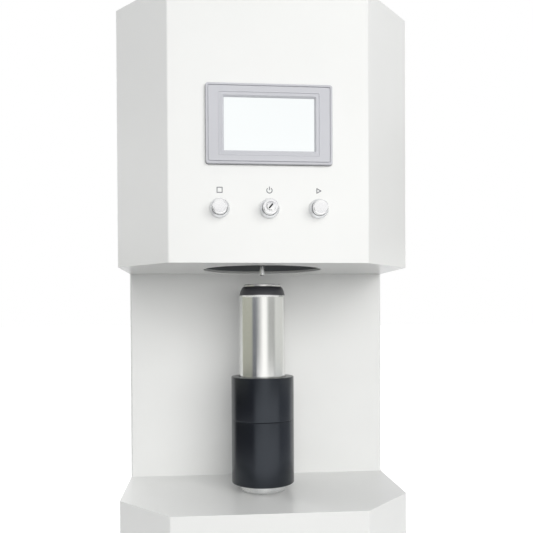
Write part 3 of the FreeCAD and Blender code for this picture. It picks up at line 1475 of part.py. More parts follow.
def check_and_write():
    """Makes sure that every object is sound, then writes one file for each sub-part."""
    doc.recompute()
    for thing in doc.Objects:
        if "Invalid" in thing.State or "Error" in thing.State:
            raise RuntimeError(f"{thing.Name} failed: {thing.State}")
    os.makedirs("parts", exist_ok=True)
    for name, thing in sorted(parts.items()):
        shape = thing.Shape
        if shape.isNull() or not shape.isValid():
            raise RuntimeError(f"{name} has no sound shape")
        shape.exportStep(f"parts/{name}.step")
        print(f"{name:22s} solids {len(shape.Solids):2d}  volume {shape.Volume / 1000:9.2f} cm3")
    print(len(parts), "sub-parts")


make_base()
make_column()
make_head()
make_rear_cover()
make_lip_screws()
make_frame()
make_cylinder()
make_lift()
make_can()
make_shroud()
make_nozzle()
make_pump()
make_rear_connections()
make_air_gear()
make_screen()
make_buttons()
make_controls()
check_and_write()
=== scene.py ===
"""Dresses the desk-top can filling machine: housing, screen, buttons, nozzle, holder and can.

Every length is in metres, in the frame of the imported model: +X right, +Y to the rear, +Z up.
"""

import json
import logging
import math
from dataclasses import dataclass
from enum import Enum
from typing import Sequence

import bmesh
import bpy
import numpy as np
from mathutils import Matrix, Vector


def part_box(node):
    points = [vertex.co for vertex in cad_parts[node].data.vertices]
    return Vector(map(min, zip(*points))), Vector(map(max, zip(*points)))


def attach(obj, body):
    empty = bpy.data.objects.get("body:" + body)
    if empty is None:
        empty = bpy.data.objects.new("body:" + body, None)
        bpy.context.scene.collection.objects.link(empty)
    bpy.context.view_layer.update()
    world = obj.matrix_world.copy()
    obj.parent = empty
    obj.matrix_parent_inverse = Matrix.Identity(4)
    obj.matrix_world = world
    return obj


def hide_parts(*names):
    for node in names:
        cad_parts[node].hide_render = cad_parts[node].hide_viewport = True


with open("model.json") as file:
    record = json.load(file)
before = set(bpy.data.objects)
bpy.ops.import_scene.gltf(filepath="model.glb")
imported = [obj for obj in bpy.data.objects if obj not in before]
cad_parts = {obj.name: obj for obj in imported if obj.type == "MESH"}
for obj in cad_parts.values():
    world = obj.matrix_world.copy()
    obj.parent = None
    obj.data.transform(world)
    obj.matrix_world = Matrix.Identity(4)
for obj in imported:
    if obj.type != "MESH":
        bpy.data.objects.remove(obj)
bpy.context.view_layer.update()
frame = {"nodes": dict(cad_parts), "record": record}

LOG = logging.getLogger("can_filler")
MM = 0.001
SEGMENTS = 128
CAN_SEGMENTS = 160
CARD_STEPS = 48

LEAST_LENGTH = 1e-12
LEAST_SIZE = 1e-9
STRAIGHT_TURN = 1e-6
SAME_PLACE = 1e-8

Array = np.ndarray
Surface = tuple[Array, list[tuple[int, ...]]]


# Meshes worked out as arrays


def grid_faces(rows: int, columns: int, close_rows: bool, close_columns: bool) -> list[tuple[int, ...]]:
    """Joins a grid of points with four-sided faces.

    Point (i, j) has the number i * columns + j. Each face joins (i, j), (i, j+1), (i+1, j+1)
    and (i+1, j), and the last row or column meets the first where it is closed.

    Args:
        rows: Number of rows of points.
        columns: Number of points in a row.
        close_rows: True where the last row meets the first.
        close_columns: True where the last column meets the first.

    Returns:
        The faces as tuples of point numbers.
    """
    i = np.arange(rows if close_rows else rows - 1)[:, None]
    j = np.arange(columns if close_columns else columns - 1)[None, :]
    i_next = (i + 1) % rows
    j_next = (j + 1) % columns
    corners = [i * columns + j, i * columns + j_next, i_next * columns + j_next, i_next * columns + j]
    return list(map(tuple, np.stack([c.ravel() for c in corners], axis=1).tolist()))


def rounded_path(points: Sequence[Sequence[float]], radii: Sequence[float], closed: bool,
                 steps: int = 6) -> Array:
    """Rounds the corners of a flat path.

    Each corner P with unit directions a and b to its neighbours becomes an arc. The arc starts at
    P + a t and ends at P + b t, where t is the radius over the tangent of half the corner's angle,
    and its points are the centre plus the radius times a direction turned evenly from one to the other.

    Args:
        points: Corners of the path.
        radii: Radius at each corner, 0 for a sharp one.
        closed: True for a loop; otherwise the first and the last point stay as they are.
        steps: Points on each arc.

    Returns:
        The points of the rounded path.
    """
    p = np.asarray(points, float)
    r = np.asarray(radii, float)
    if not closed:
        r = r.copy()
        r[[0, -1]] = 0.0
    a = np.roll(p, 1, axis=0) - p
    b = np.roll(p, -1, axis=0) - p
    a /= np.maximum(np.linalg.norm(a, axis=1, keepdims=True), LEAST_LENGTH)
    b /= np.maximum(np.linalg.norm(b, axis=1, keepdims=True), LEAST_LENGTH)
    middle = a + b
    middle /= np.maximum(np.linalg.norm(middle, axis=1, keepdims=True), LEAST_SIZE)
    sine = np.sqrt(np.clip((1 - np.sum(a * b, axis=1)) / 2, LEAST_SIZE, 1))
    cosine = np.sqrt(np.clip((1 + np.sum(a * b, axis=1)) / 2, 0, 1))
    reach = (r * cosine / sine)[:, None]
    centre = p + middle * (r / sine)[:, None]
    start = p + a * reach - centre
    end = p + b * reach - centre
    turn = np.pi - 2 * np.arcsin(sine)
    share = np.linspace(0, 1, steps)[None, :, None]
    angle = np.maximum(turn, LEAST_SIZE)[:, None, None]
    from_start = np.sin((1 - share) * angle) * start[:, None, :]
    from_end = np.sin(share * angle) * end[:, None, :]
    arc = (from_start + from_end) / np.sin(angle)
    rounded = ((r > 0) & (turn > STRAIGHT_TURN))[:, None, None]
    arc = np.where(rounded, centre[:, None, :] + arc, p[:, None, :])
    path = arc.reshape(-1, p.shape[1])
    gap = np.linalg.norm(path - np.roll(path, 1, axis=0), axis=1)
    keep = gap > SAME_PLACE
    if not closed:
        keep[0] = True
    return path[keep]


def revolved(profile: Array, centre: Sequence[float], along: str = "Z", closed: bool = True,
             segments: int = SEGMENTS) -> Surface:
    """Turns a profile about an axis.

    The point for profile place u and angle v is the centre, plus the profile's radius at u times
    the direction at angle v across the axis, plus the profile's height at u along the axis.

    Args:
        profile: Radius and height pairs.
        centre: A point on the axis, at height 0.
        along: The axis: Z or -Y.
        closed: True where the profile is a loop.
        segments: Steps round the axis.

    Returns:
        The points and faces of the surface.
    """
    v = np.linspace(0, 2 * np.pi, segments, endpoint=False)
    radius, height = profile[:, 0][:, None], profile[:, 1][:, None]
    across, over = radius * np.cos(v), radius * np.sin(v)
    level = np.broadcast_to(height, across.shape)
    axes = {"Z": (across, over, level), "-Y": (across, -level, over)}[along]
    points = np.stack([c.ravel() for c in axes], axis=1) + np.asarray(centre, float)
    return points, grid_faces(len(profile), segments, closed, True)


def inward_normals(outline: Array) -> Array:
    """The inward direction at each point of an anticlockwise outline, lengthened at the corners.

    The direction is the mean of the two sides' inward normals over the cosine of half the angle
    between them, so that an inset keeps the sides parallel.
    """
    ahead = np.roll(outline, -1, axis=0) - outline
    ahead /= np.maximum(np.linalg.norm(ahead, axis=1, keepdims=True), LEAST_LENGTH)
    behind = np.roll(ahead, 1, axis=0)
    normal_a = np.stack([-ahead[:, 1], ahead[:, 0]], axis=1)
    normal_b = np.stack([-behind[:, 1], behind[:, 0]], axis=1)
    mean = normal_a + normal_b
    return mean / np.maximum(np.sum(mean * normal_a, axis=1, keepdims=True), STRAIGHT_TURN)


def rectangle(width: float, height: float, centre: Sequence[float], radius: float) -> Array:
    """A rectangle with rounded corners, anticlockwise, as X and Z pairs."""
    x, z = width / 2, height / 2
    corners = np.array([(-x, -z), (x, -z), (x, z), (-x, z)]) + np.asarray(centre, float)
    return rounded_path(corners, [radius] * 4, True, steps=8)


def stacked(outlines: Sequence[Array], depths: Sequence[float], closed: bool, caps: bool = False) -> Surface:
    """Joins outlines that lie across the Y axis, one behind the other.

    The point (u, v) is point v of outline u, at depth u. All outlines have as many points. They and
    the depths are in millimetres.

    Args:
        outlines: X and Z pairs of each outline.
        depths: Depth of each outline.
        closed: True where the last outline meets the first.
        caps: True to fill the first and the last outline.

    Returns:
        The points and faces of the surface, in metres.
    """
    count = len(outlines[0])
    flat = np.vstack(outlines)
    points = np.stack([flat[:, 0], np.repeat(depths, count), flat[:, 1]], axis=1) * MM
    faces = grid_faces(len(outlines), count, closed, True)
    if caps:
        last = (len(outlines) - 1) * count
        faces += [tuple(range(count - 1, -1, -1)), tuple(range(last, last + count))]
    return points, faces


def prism(outline: Array, front: float, rear: float) -> Surface:
    """A closed prism over an outline of X and Z pairs, from one depth to another, in metres."""
    count = len(outline)
    depth = np.repeat([front, rear], count)
    flat = np.vstack([outline, outline])
    faces = grid_faces(2, count, False, True)
    faces += [tuple(range(count - 1, -1, -1)), tuple(range(count, count * 2))]
    return np.stack([flat[:, 0], depth, flat[:, 1]], axis=1), faces


# Finishes


class Grain(Enum):
    """The relief that a finish has."""

    PLAIN = "plain"
    POWDER = "powder coat"
    MOULDED = "moulded"
    BRUSHED = "brushed"
    DRAWN = "drawn upwards"
    TURNED = "turned rings"


COAT_ROUGHNESS = 0.12
PATCH_SCALE = (9.0, 9.0, 9.0)
NOISE_LOW, NOISE_HIGH = 0.3, 0.7
RELIEF_DISTANCE = 0.0004
UNLIT_GLASS = (0.02, 0.02, 0.022, 1.0)
GRAIN_SCALE = {
    Grain.PLAIN: (60.0, 60.0, 60.0),
    Grain.POWDER: (900.0, 900.0, 900.0),
    Grain.MOULDED: (2200.0, 2200.0, 2200.0),
    Grain.BRUSHED: (60.0, 60.0, 2600.0),
    Grain.DRAWN: (1500.0, 1500.0, 6.0),
    Grain.TURNED: (4.0, 4.0, 2400.0),
}


@dataclass(frozen=True)
class Finish:
    """A surface finish whose colour and gloss vary a little over the piece.

    Attributes:
        name: Name of the material.
        colour: Linear red, green and blue.
        roughness: Mean roughness.
        metallic: 1 for bare metal.
        grain: Kind of relief.
        relief: Depth of the relief, from 0.
        drift: Share by which the colour varies in broad patches.
        mottle: Share by which the roughness varies.
        coat: Weight of the clear coat.
        glow: Strength of the light that the surface gives off.
        sheen: Specular level.
        tint: Colour of the gloss.
    """

    name: str
    colour: tuple[float, float, float]
    roughness: float
    metallic: float = 0.0
    grain: Grain = Grain.PLAIN
    relief: float = 0.05
    drift: float = 0.03
    mottle: float = 0.08
    coat: float = 0.0
    glow: float = 0.0
    sheen: float = 0.5
    tint: tuple[float, float, float] = (1.0, 1.0, 1.0)

    def material(self) -> bpy.types.Material:
        """Builds the finish as a node material, or returns it where it was built before."""
        if self.name in bpy.data.materials:
            return bpy.data.materials[self.name]
        material = bpy.data.materials.new(self.name)
        material.use_nodes = True
        tree = material.node_tree
        shader = tree.nodes["Principled BSDF"]
        shader.inputs["Metallic"].default_value = self.metallic
        shader.inputs["Coat Weight"].default_value = self.coat
        shader.inputs["Coat Roughness"].default_value = COAT_ROUGHNESS
        shader.inputs["Specular IOR Level"].default_value = self.sheen
        shader.inputs["Specular Tint"].default_value = (*self.tint, 1.0)
        place = tree.nodes.new("ShaderNodeTexCoord")
        self._colour(tree, shader, place)
        self._roughness(tree, shader, place)
        self._relief(tree, shader, place)
        return material

    def _noise(self, tree: bpy.types.NodeTree, place: bpy.types.Node, scale: Sequence[float],
               detail: float) -> bpy.types.Node:
        """Adds a noise in the piece's own coordinates, stretched by a scale for each axis."""
        mapping = tree.nodes.new("ShaderNodeMapping")
        mapping.inputs["Scale"].default_value = scale
        noise = tree.nodes.new("ShaderNodeTexNoise")
        noise.inputs["Scale"].default_value = 1.0
        noise.inputs["Detail"].default_value = detail
        tree.links.new(place.outputs["Object"], mapping.inputs["Vector"])
        tree.links.new(mapping.outputs["Vector"], noise.inputs["Vector"])
        return noise

    def _colour(self, tree: bpy.types.NodeTree, shader: bpy.types.Node, place: bpy.types.Node) -> None:
        """Lets the colour drift between a darker and a lighter tone in broad soft patches.

        Where the surface gives off light, the colour is that of the light, and the glass is dark.
        """
        noise = self._noise(tree, place, PATCH_SCALE, 3.0)
        ramp = tree.nodes.new("ShaderNodeValToRGB")
        ramp.color_ramp.elements[0].position = NOISE_LOW
        ramp.color_ramp.elements[1].position = NOISE_HIGH
        ramp.color_ramp.elements[0].color = (*[c * (1 - self.drift) for c in self.colour], 1)
        ramp.color_ramp.elements[1].color = (*[min(1.0, c * (1 + self.drift)) for c in self.colour], 1)
        tree.links.new(noise.outputs["Fac"], ramp.inputs["Fac"])
        if self.glow:
            shader.inputs["Base Color"].default_value = UNLIT_GLASS
            shader.inputs["Emission Strength"].default_value = self.glow
            tree.links.new(ramp.outputs["Color"], shader.inputs["Emission Color"])
        else:
            tree.links.new(ramp.outputs["Color"], shader.inputs["Base Color"])

    def _roughness(self, tree: bpy.types.NodeTree, shader: bpy.types.Node, place: bpy.types.Node) -> None:
        """Lets the roughness vary with the grain and with faint handling marks."""
        scale = GRAIN_SCALE[self.grain]
        noise = self._noise(tree, place, tuple(s / 5 for s in scale), 4.0)
        span = tree.nodes.new("ShaderNodeMapRange")
        span.inputs["From Min"].default_value = NOISE_LOW
        span.inputs["From Max"].default_value = NOISE_HIGH
        span.inputs["To Min"].default_value = max(0.02, self.roughness * (1 - self.mottle))
        span.inputs["To Max"].default_value = min(1.0, self.roughness * (1 + self.mottle))
        tree.links.new(noise.outputs["Fac"], span.inputs["Value"])
        tree.links.new(span.outputs["Result"], shader.inputs["Roughness"])

    def _relief(self, tree: bpy.types.NodeTree, shader: bpy.types.Node, place: bpy.types.Node) -> None:
        """Raises the grain with a bump."""
        noise = self._noise(tree, place, GRAIN_SCALE[self.grain], 2.0)
        bump = tree.nodes.new("ShaderNodeBump")
        bump.inputs["Strength"].default_value = self.relief
        bump.inputs["Distance"].default_value = RELIEF_DISTANCE
        tree.links.new(noise.outputs["Fac"], bump.inputs["Height"])
        tree.links.new(bump.outputs["Normal"], shader.inputs["Normal"])


FINISHES = {
    "white_paint": Finish("white_powder_coat", (0.835, 0.84, 0.83), 0.32, grain=Grain.POWDER, relief=0.10,
                          drift=0.010, coat=0.25),
    "zinc_steel": Finish("zinc_plated_steel", (0.62, 0.63, 0.64), 0.36, 1.0, Grain.BRUSHED, 0.06, 0.06, 0.2),
    "stainless": Finish("bright_stainless", (0.92, 0.92, 0.925), 0.20, 1.0, Grain.TURNED, 0.04, 0.03, 0.2),
    "polished_steel": Finish("ground_rod_steel", (0.66, 0.66, 0.68), 0.12, 1.0, Grain.TURNED, 0.02, 0.02),
    "can_aluminium": Finish("bright_can_aluminium", (0.84, 0.84, 0.83), 0.19, 1.0, Grain.DRAWN, 0.02,
                            0.015, 0.12),
    "aluminium": Finish("turned_aluminium", (0.88, 0.885, 0.89), 0.26, 1.0, Grain.TURNED, 0.06, 0.03, 0.2),
    "black_plastic": Finish("turned_black_plastic", (0.0048, 0.0056, 0.0085), 0.27, grain=Grain.TURNED,
                            relief=0.004, drift=0.06, mottle=0.0, sheen=0.62, tint=(0.82, 0.90, 1.0)),
    "rubber": Finish("black_rubber", (0.018, 0.018, 0.018), 0.75, grain=Grain.MOULDED, relief=0.2),
    "bezel_plastic": Finish("moulded_bezel", (0.56, 0.565, 0.60), 0.45, grain=Grain.MOULDED, relief=0.10),
    "grey_plastic": Finish("moulded_grey", (0.12, 0.125, 0.135), 0.5, grain=Grain.MOULDED, relief=0.12),
    "screen_glass": Finish("lit_screen", (0.925, 0.955, 0.955), 0.16, drift=0.012, relief=0.0, glow=0.975),
    "bronze": Finish("sintered_bronze", (0.42, 0.27, 0.11), 0.4, 1.0, Grain.MOULDED, 0.1),
    "hose_clear": Finish("milky_silicone", (0.66, 0.65, 0.58), 0.3, coat=0.3),
    "hose_blue": Finish("blue_air_hose", (0.012, 0.06, 0.30), 0.25, coat=0.4),
    "brass": Finish("nickel_plated_brass", (0.66, 0.60, 0.46), 0.25, 1.0, Grain.TURNED, 0.04),
    "motor_paint": Finish("black_motor_paint", (0.02, 0.02, 0.022), 0.4, grain=Grain.POWDER, relief=0.15),
}
DARK_MARK = Finish("panel_marking", (0.23, 0.235, 0.25), 0.5, relief=0.0, drift=0.04)
COLLAR_STEEL = Finish("satin_collar_steel", (0.78, 0.79, 0.80), 0.30, 1.0, Grain.TURNED, 0.04, 0.03, 0.2)
# Painted reflection: the dark tone of the can's shoulder band stands in for the dark port mirrored there.
NECK_PAINTED_REFLECTION = Finish("painted_neck_reflection", (0.050, 0.050, 0.058), 0.30, grain=Grain.TURNED, relief=0.02,
                      sheen=0.6)
# Painted shade: a flat dark tone for the shade inside the key way and its ring.
KEY_WAY_SHADE = Finish("key_way_shadow", (0.20, 0.20, 0.21), 0.5, relief=0.0, drift=0.05)
GASKET = Finish("bezel_gasket_rubber", (0.20, 0.202, 0.21), 0.65, grain=Grain.MOULDED, relief=0.15)
BEZEL_RIM = Finish("bezel_rim_plastic", (0.54, 0.545, 0.58), 0.42, grain=Grain.MOULDED, relief=0.10)
DARK_ROOM = Finish("dark_shroud_plastic", (0.15, 0.16, 0.166), 0.55, grain=Grain.MOULDED, relief=0.10)


# Adding pieces to the scene


def add_piece(name: str, surfaces: Sequence[Surface], body: str, slot: str, replaces: Sequence[str] = (),
              finish: Finish | None = None, sharp: float = 32.0) -> bpy.types.Object:
    """Makes one mesh object of several surfaces, dresses it and lets it ride on its body.

    Args:
        name: Name of the piece.
        surfaces: Points and faces of each surface.
        body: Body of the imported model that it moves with.
        slot: Material slot of the record.
        replaces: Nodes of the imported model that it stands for.
        finish: Its finish, if it isn't the slot's own.
        sharp: Angle in degrees above which an edge stays sharp.

    Returns:
        The object.
    """
    points, faces, start = [], [], 0
    for some_points, some_faces in surfaces:
        points.append(some_points)
        faces += [tuple(n + start for n in face) for face in some_faces]
        start += len(some_points)
    mesh = bpy.data.meshes.new(name)
    mesh.from_pydata(np.vstack(points).tolist(), [], faces)
    tidy = bmesh.new()
    tidy.from_mesh(mesh)
    bmesh.ops.remove_doubles(tidy, verts=tidy.verts, dist=1e-7)
    bmesh.ops.dissolve_degenerate(tidy, edges=tidy.edges, dist=1e-8)
    bmesh.ops.recalc_face_normals(tidy, faces=tidy.faces)
    tidy.to_mesh(mesh)
    tidy.free()
    mesh.polygons.foreach_set("use_smooth", np.ones(len(mesh.polygons), bool))
    mesh.set_sharp_from_angle(angle=math.radians(sharp))
    mesh.materials.append((finish or FINISHES[slot]).material())
    piece = bpy.data.objects.new(name, mesh)
    bpy.context.scene.collection.objects.link(piece)
    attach(piece, body)
    if replaces:
        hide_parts(*replaces)
    LOG.info("%s: %d points", name, len(mesh.vertices))
    return piece


def corners(node: str) -> tuple[Array, Array]:
    """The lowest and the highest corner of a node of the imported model, in millimetres."""
    low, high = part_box(node)
    return np.array(low, float) / MM, np.array(high, float) / MM


def node_centre(node: str) -> tuple[float, float]:
    """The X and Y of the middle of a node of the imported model, in metres."""
    low, high = corners(node)
    return tuple(((low + high) / 2 * MM)[:2].tolist())


def dress_nodes() -> None:
    """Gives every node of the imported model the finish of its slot."""
    slots = {part["node"]: part["material_slot"] for part in frame["record"]["subparts"]}
    for name, node in frame["nodes"].items():
        material = FINISHES[slots[name]].material()
        if not node.material_slots:
            node.data.materials.append(material)
        for place in node.material_slots:
            place.material = material
    LOG.info("%d nodes dressed", len(frame["nodes"]))


# Sub-assemblies


@dataclass(frozen=True)
class Card:
    """A curved card round the can that only a gloss sees.

    Attributes:
        name: Name of the card.
        start: First bearing in degrees, to the right of the direction from the can to the camera.
        end: Last bearing.
        low: Height of the lower edge in metres.
        high: Height of the upper edge.
        tone: Linear red, green and blue that the gloss sees.
        reach: Distance from the can's axis in metres.
    """

    name: str
    start: float
    end: float
    low: float
    high: float
    tone: tuple[float, float, float]
    reach: float = 0.95


CAN_LEVEL = (0.246, 0.56)
HOLDER_LEVEL = (-0.20, 0.242)
CARDS = (
    Card("warm_card", -150.0, -50.0, *CAN_LEVEL, (0.445, 0.45, 0.38)),
    Card("dark_card", -50.0, -25.0, *CAN_LEVEL, (0.19, 0.20, 0.22)),
    Card("half_card", -25.0, -15.0, *CAN_LEVEL, (0.37, 0.38, 0.38)),
    Card("soft_card", -15.0, -8.0, *CAN_LEVEL, (0.64, 0.64, 0.63)),
    Card("light_card", -8.0, 0.0, *CAN_LEVEL, (0.88, 0.88, 0.86)),
    Card("bright_card", 0.0, 22.0, *CAN_LEVEL, (1.15, 1.15, 1.12)),
    Card("fading_card", 22.0, 30.0, *CAN_LEVEL, (0.78, 0.78, 0.76)),
    Card("grey_card", 30.0, 65.0, *CAN_LEVEL, (0.44, 0.445, 0.43)),
    Card("pale_card", 65.0, 145.0, *CAN_LEVEL, (0.71, 0.72, 0.69)),
    Card("black_card", -165.0, -28.0, *HOLDER_LEVEL, (0.004, 0.006, 0.012)),
    Card("shaded_card", 60.0, 120.0, *HOLDER_LEVEL, (0.40, 0.42, 0.46)),
    Card("high_card", -120.0, 120.0, 0.95, 1.7, (0.55, 0.555, 0.57), 1.3),
    Card("right_card", 92.0, 128.0, 0.45, 1.3, (0.12, 0.12, 0.12), 1.6),
)


@dataclass
class Studio:
    """White floor, soft lights and the camera.

    Attributes:
        eye: Place of the camera in millimetres.
        yaw: Turn of the camera to its right, in radians.
        pitch: Tilt of the camera upwards, in radians.
        roll: Roll of the camera, in radians.
        lens: Focal length for a sensor of 36 mm.
        rise: Vertical shift of the lens.
        ambient: Strength of the even light from all round.
        floor_tone: Linear tone of the floor.
        key: Power of the large soft lamp in front, in watts.
        left: Power of the soft lamp behind at the left, in watts.
        right: Power of the soft lamp behind at the right, in watts.
        rear: Power of the soft lamp behind, in watts.
    """

    eye: tuple[float, float, float] = (-67.73, -899.17, 401.84)
    yaw: float = 0.0871
    pitch: float = -0.0126
    roll: float = -0.005
    lens: float = 44.65
    rise: float = 0.1107
    ambient: float = 0.455
    floor_tone: float = 0.40
    key: float = 38.0
    left: float = 20.0
    right: float = 4.0
    rear: float = 34.0

    def build(self) -> None:
        """Sets the colour view, the world, the floor, the lamps, the cards and the camera."""
        bpy.context.scene.view_settings.view_transform = "Standard"
        self._camera()
        self._world()
        self._floor()
        self._lamp("front_softbox", (0.55, -2.15, 1.04), (0.0, -0.1, 0.42), 2.3, 1.3, self.key)
        self._lamp("left_softbox", (-2.2, 1.1, 1.0), (0.0, 0.0, 0.4), 1.0, 1.2, self.left)
        self._lamp("right_softbox", (2.2, 1.1, 1.0), (0.0, 0.0, 0.4), 1.0, 1.2, self.right)
        self._lamp("rear_softbox", (-0.8, 2.6, 1.5), (0.0, 0.0, 0.4), 1.6, 1.2, self.rear)
        for card in CARDS:
            self._card(card)

    def _camera(self) -> None:
        """Places the camera from its yaw, pitch and roll."""
        ahead = np.array([math.sin(self.yaw) * math.cos(self.pitch),
                          math.cos(self.yaw) * math.cos(self.pitch), math.sin(self.pitch)])
        right = np.array([math.cos(self.yaw), -math.sin(self.yaw), 0.0])
        above = np.cross(right, ahead)
        right_rolled = math.cos(self.roll) * right + math.sin(self.roll) * above
        above_rolled = -math.sin(self.roll) * right + math.cos(self.roll) * above
        turn = np.eye(4)
        turn[:3, 0], turn[:3, 1], turn[:3, 2] = right_rolled, above_rolled, -ahead
        turn[:3, 3] = np.array(self.eye) * MM
        data = bpy.data.cameras.new("camera")
        data.sensor_width = 36.0
        data.lens = self.lens
        data.shift_y = self.rise
        data.clip_end = 100.0
        camera = bpy.data.objects.new("camera", data)
        bpy.context.scene.collection.objects.link(camera)
        camera.matrix_world = Matrix(turn.tolist())
        bpy.context.scene.camera = camera

    def _world(self) -> None:
        """An even light from all round, and plain white where the camera or a gloss sees it."""
        world = bpy.data.worlds.new("studio")
        world.use_nodes = True
        tree = world.node_tree
        even = tree.nodes["Background"]
        even.inputs["Color"].default_value = (0.97, 0.985, 1.0, 1.0)
        even.inputs["Strength"].default_value = self.ambient
        white = tree.nodes.new("ShaderNodeBackground")
        white.inputs["Color"].default_value = (1.0, 1.0, 1.0, 1.0)
        white.inputs["Strength"].default_value = 1.0
        seen = self._seen(tree)
        mix = tree.nodes.new("ShaderNodeMixShader")
        tree.links.new(seen.outputs["Value"], mix.inputs[0])
        tree.links.new(even.outputs[0], mix.inputs[1])
        tree.links.new(white.outputs[0], mix.inputs[2])
        tree.links.new(mix.outputs[0], tree.nodes["World Output"].inputs["Surface"])
        bpy.context.scene.world = world

    def _seen(self, tree: bpy.types.NodeTree) -> bpy.types.Node:
        """A value that is 1 for rays from the camera, off a gloss or through glass."""
        path = tree.nodes.new("ShaderNodeLightPath")
        first = tree.nodes.new("ShaderNodeMath")
        first.operation = "MAXIMUM"
        second = tree.nodes.new("ShaderNodeMath")
        second.operation = "MAXIMUM"
        tree.links.new(path.outputs["Is Camera Ray"], first.inputs[0])
        tree.links.new(path.outputs["Is Glossy Ray"], first.inputs[1])
        tree.links.new(first.outputs["Value"], second.inputs[0])
        tree.links.new(path.outputs["Is Transmission Ray"], second.inputs[1])
        return second

    def _floor(self) -> None:
        """A wide round floor that reads as white and keeps the machine's shadow."""
        radius = np.array([0.0, 0.6, 2.0, 6.0, 30.0])
        points, faces = revolved(np.stack([radius, radius * 0], axis=1), (0, 0, 0), closed=False, segments=48)
        mesh = bpy.data.meshes.new("floor")
        mesh.from_pydata(points.tolist(), [], faces)
        material = bpy.data.materials.new("floor")
        material.use_nodes = True
        tree = material.node_tree
        shader = tree.nodes["Principled BSDF"]
        shader.inputs["Base Color"].default_value = (*[self.floor_tone] * 3, 1.0)
        shader.inputs["Roughness"].default_value = 0.7
        shader.inputs["Emission Color"].default_value = (1.0, 1.0, 1.0, 1.0)
        lift = tree.nodes.new("ShaderNodeMath")
        lift.operation = "MULTIPLY"
        lift.inputs[1].default_value = 1.0 - self.floor_tone * self.ambient + 0.01
        tree.links.new(self._seen(tree).outputs["Value"], lift.inputs[0])
        tree.links.new(lift.outputs["Value"], shader.inputs["Emission Strength"])
        mesh.materials.append(material)
        floor = bpy.data.objects.new("floor", mesh)
        bpy.context.scene.collection.objects.link(floor)

    def _lamp(self, name: str, place: Sequence[float], aim: Sequence[float], wide: float, high: float,
              power: float) -> None:
        """Adds a soft rectangular lamp that looks at a point and leaves no highlight of its own."""
        data = bpy.data.lights.new(name, "AREA")
        data.shape = "RECTANGLE"
        data.size, data.size_y = wide, high
        data.energy = power
        data.color = (1.0, 0.992, 0.975)
        lamp = bpy.data.objects.new(name, data)
        bpy.context.scene.collection.objects.link(lamp)
        back = np.asarray(place, float) - np.asarray(aim, float)
        back /= np.linalg.norm(back)
        right = np.cross((0.0, 0.0, 1.0), back)
        right /= np.linalg.norm(right)
        turn = np.eye(4)
        turn[:3, 0], turn[:3, 1], turn[:3, 2], turn[:3, 3] = right, np.cross(back, right), back, place
        lamp.matrix_world = Matrix(turn.tolist())
        lamp.visible_camera = lamp.visible_glossy = False

    def _card(self, card: Card) -> None:
        """Adds a card.

        The point at bearing b and height z is the can's axis plus the reach in the direction b.
        """
        axis_x, axis_y = node_centre("can")
        base = math.atan2(self.eye[1] * MM - axis_y, self.eye[0] * MM - axis_x)
        bearing = base + np.radians(np.linspace(card.start, card.end, CARD_STEPS))
        x = np.tile(axis_x + card.reach * np.cos(bearing), 2)
        y = np.tile(axis_y + card.reach * np.sin(bearing), 2)
        points = np.stack([x, y, np.repeat([card.low, card.high], CARD_STEPS)], axis=1)
        mesh = bpy.data.meshes.new(card.name)
        mesh.from_pydata(points.tolist(), [], grid_faces(2, CARD_STEPS, False, False))
        material = bpy.data.materials.new(card.name)
        material.use_nodes = True
        shader = material.node_tree.nodes["Principled BSDF"]
        shader.inputs["Base Color"].default_value = (0.0, 0.0, 0.0, 1.0)
        shader.inputs["Specular IOR Level"].default_value = 0.0
        shader.inputs["Emission Color"].default_value = (*card.tone, 1.0)
        shader.inputs["Emission Strength"].default_value = 1.0
        mesh.materials.append(material)
        piece = bpy.data.objects.new(card.name, mesh)
        bpy.context.scene.collection.objects.link(piece)
        piece.visible_camera = piece.visible_diffuse = False
        piece.visible_shadow = piece.visible_transmission = False


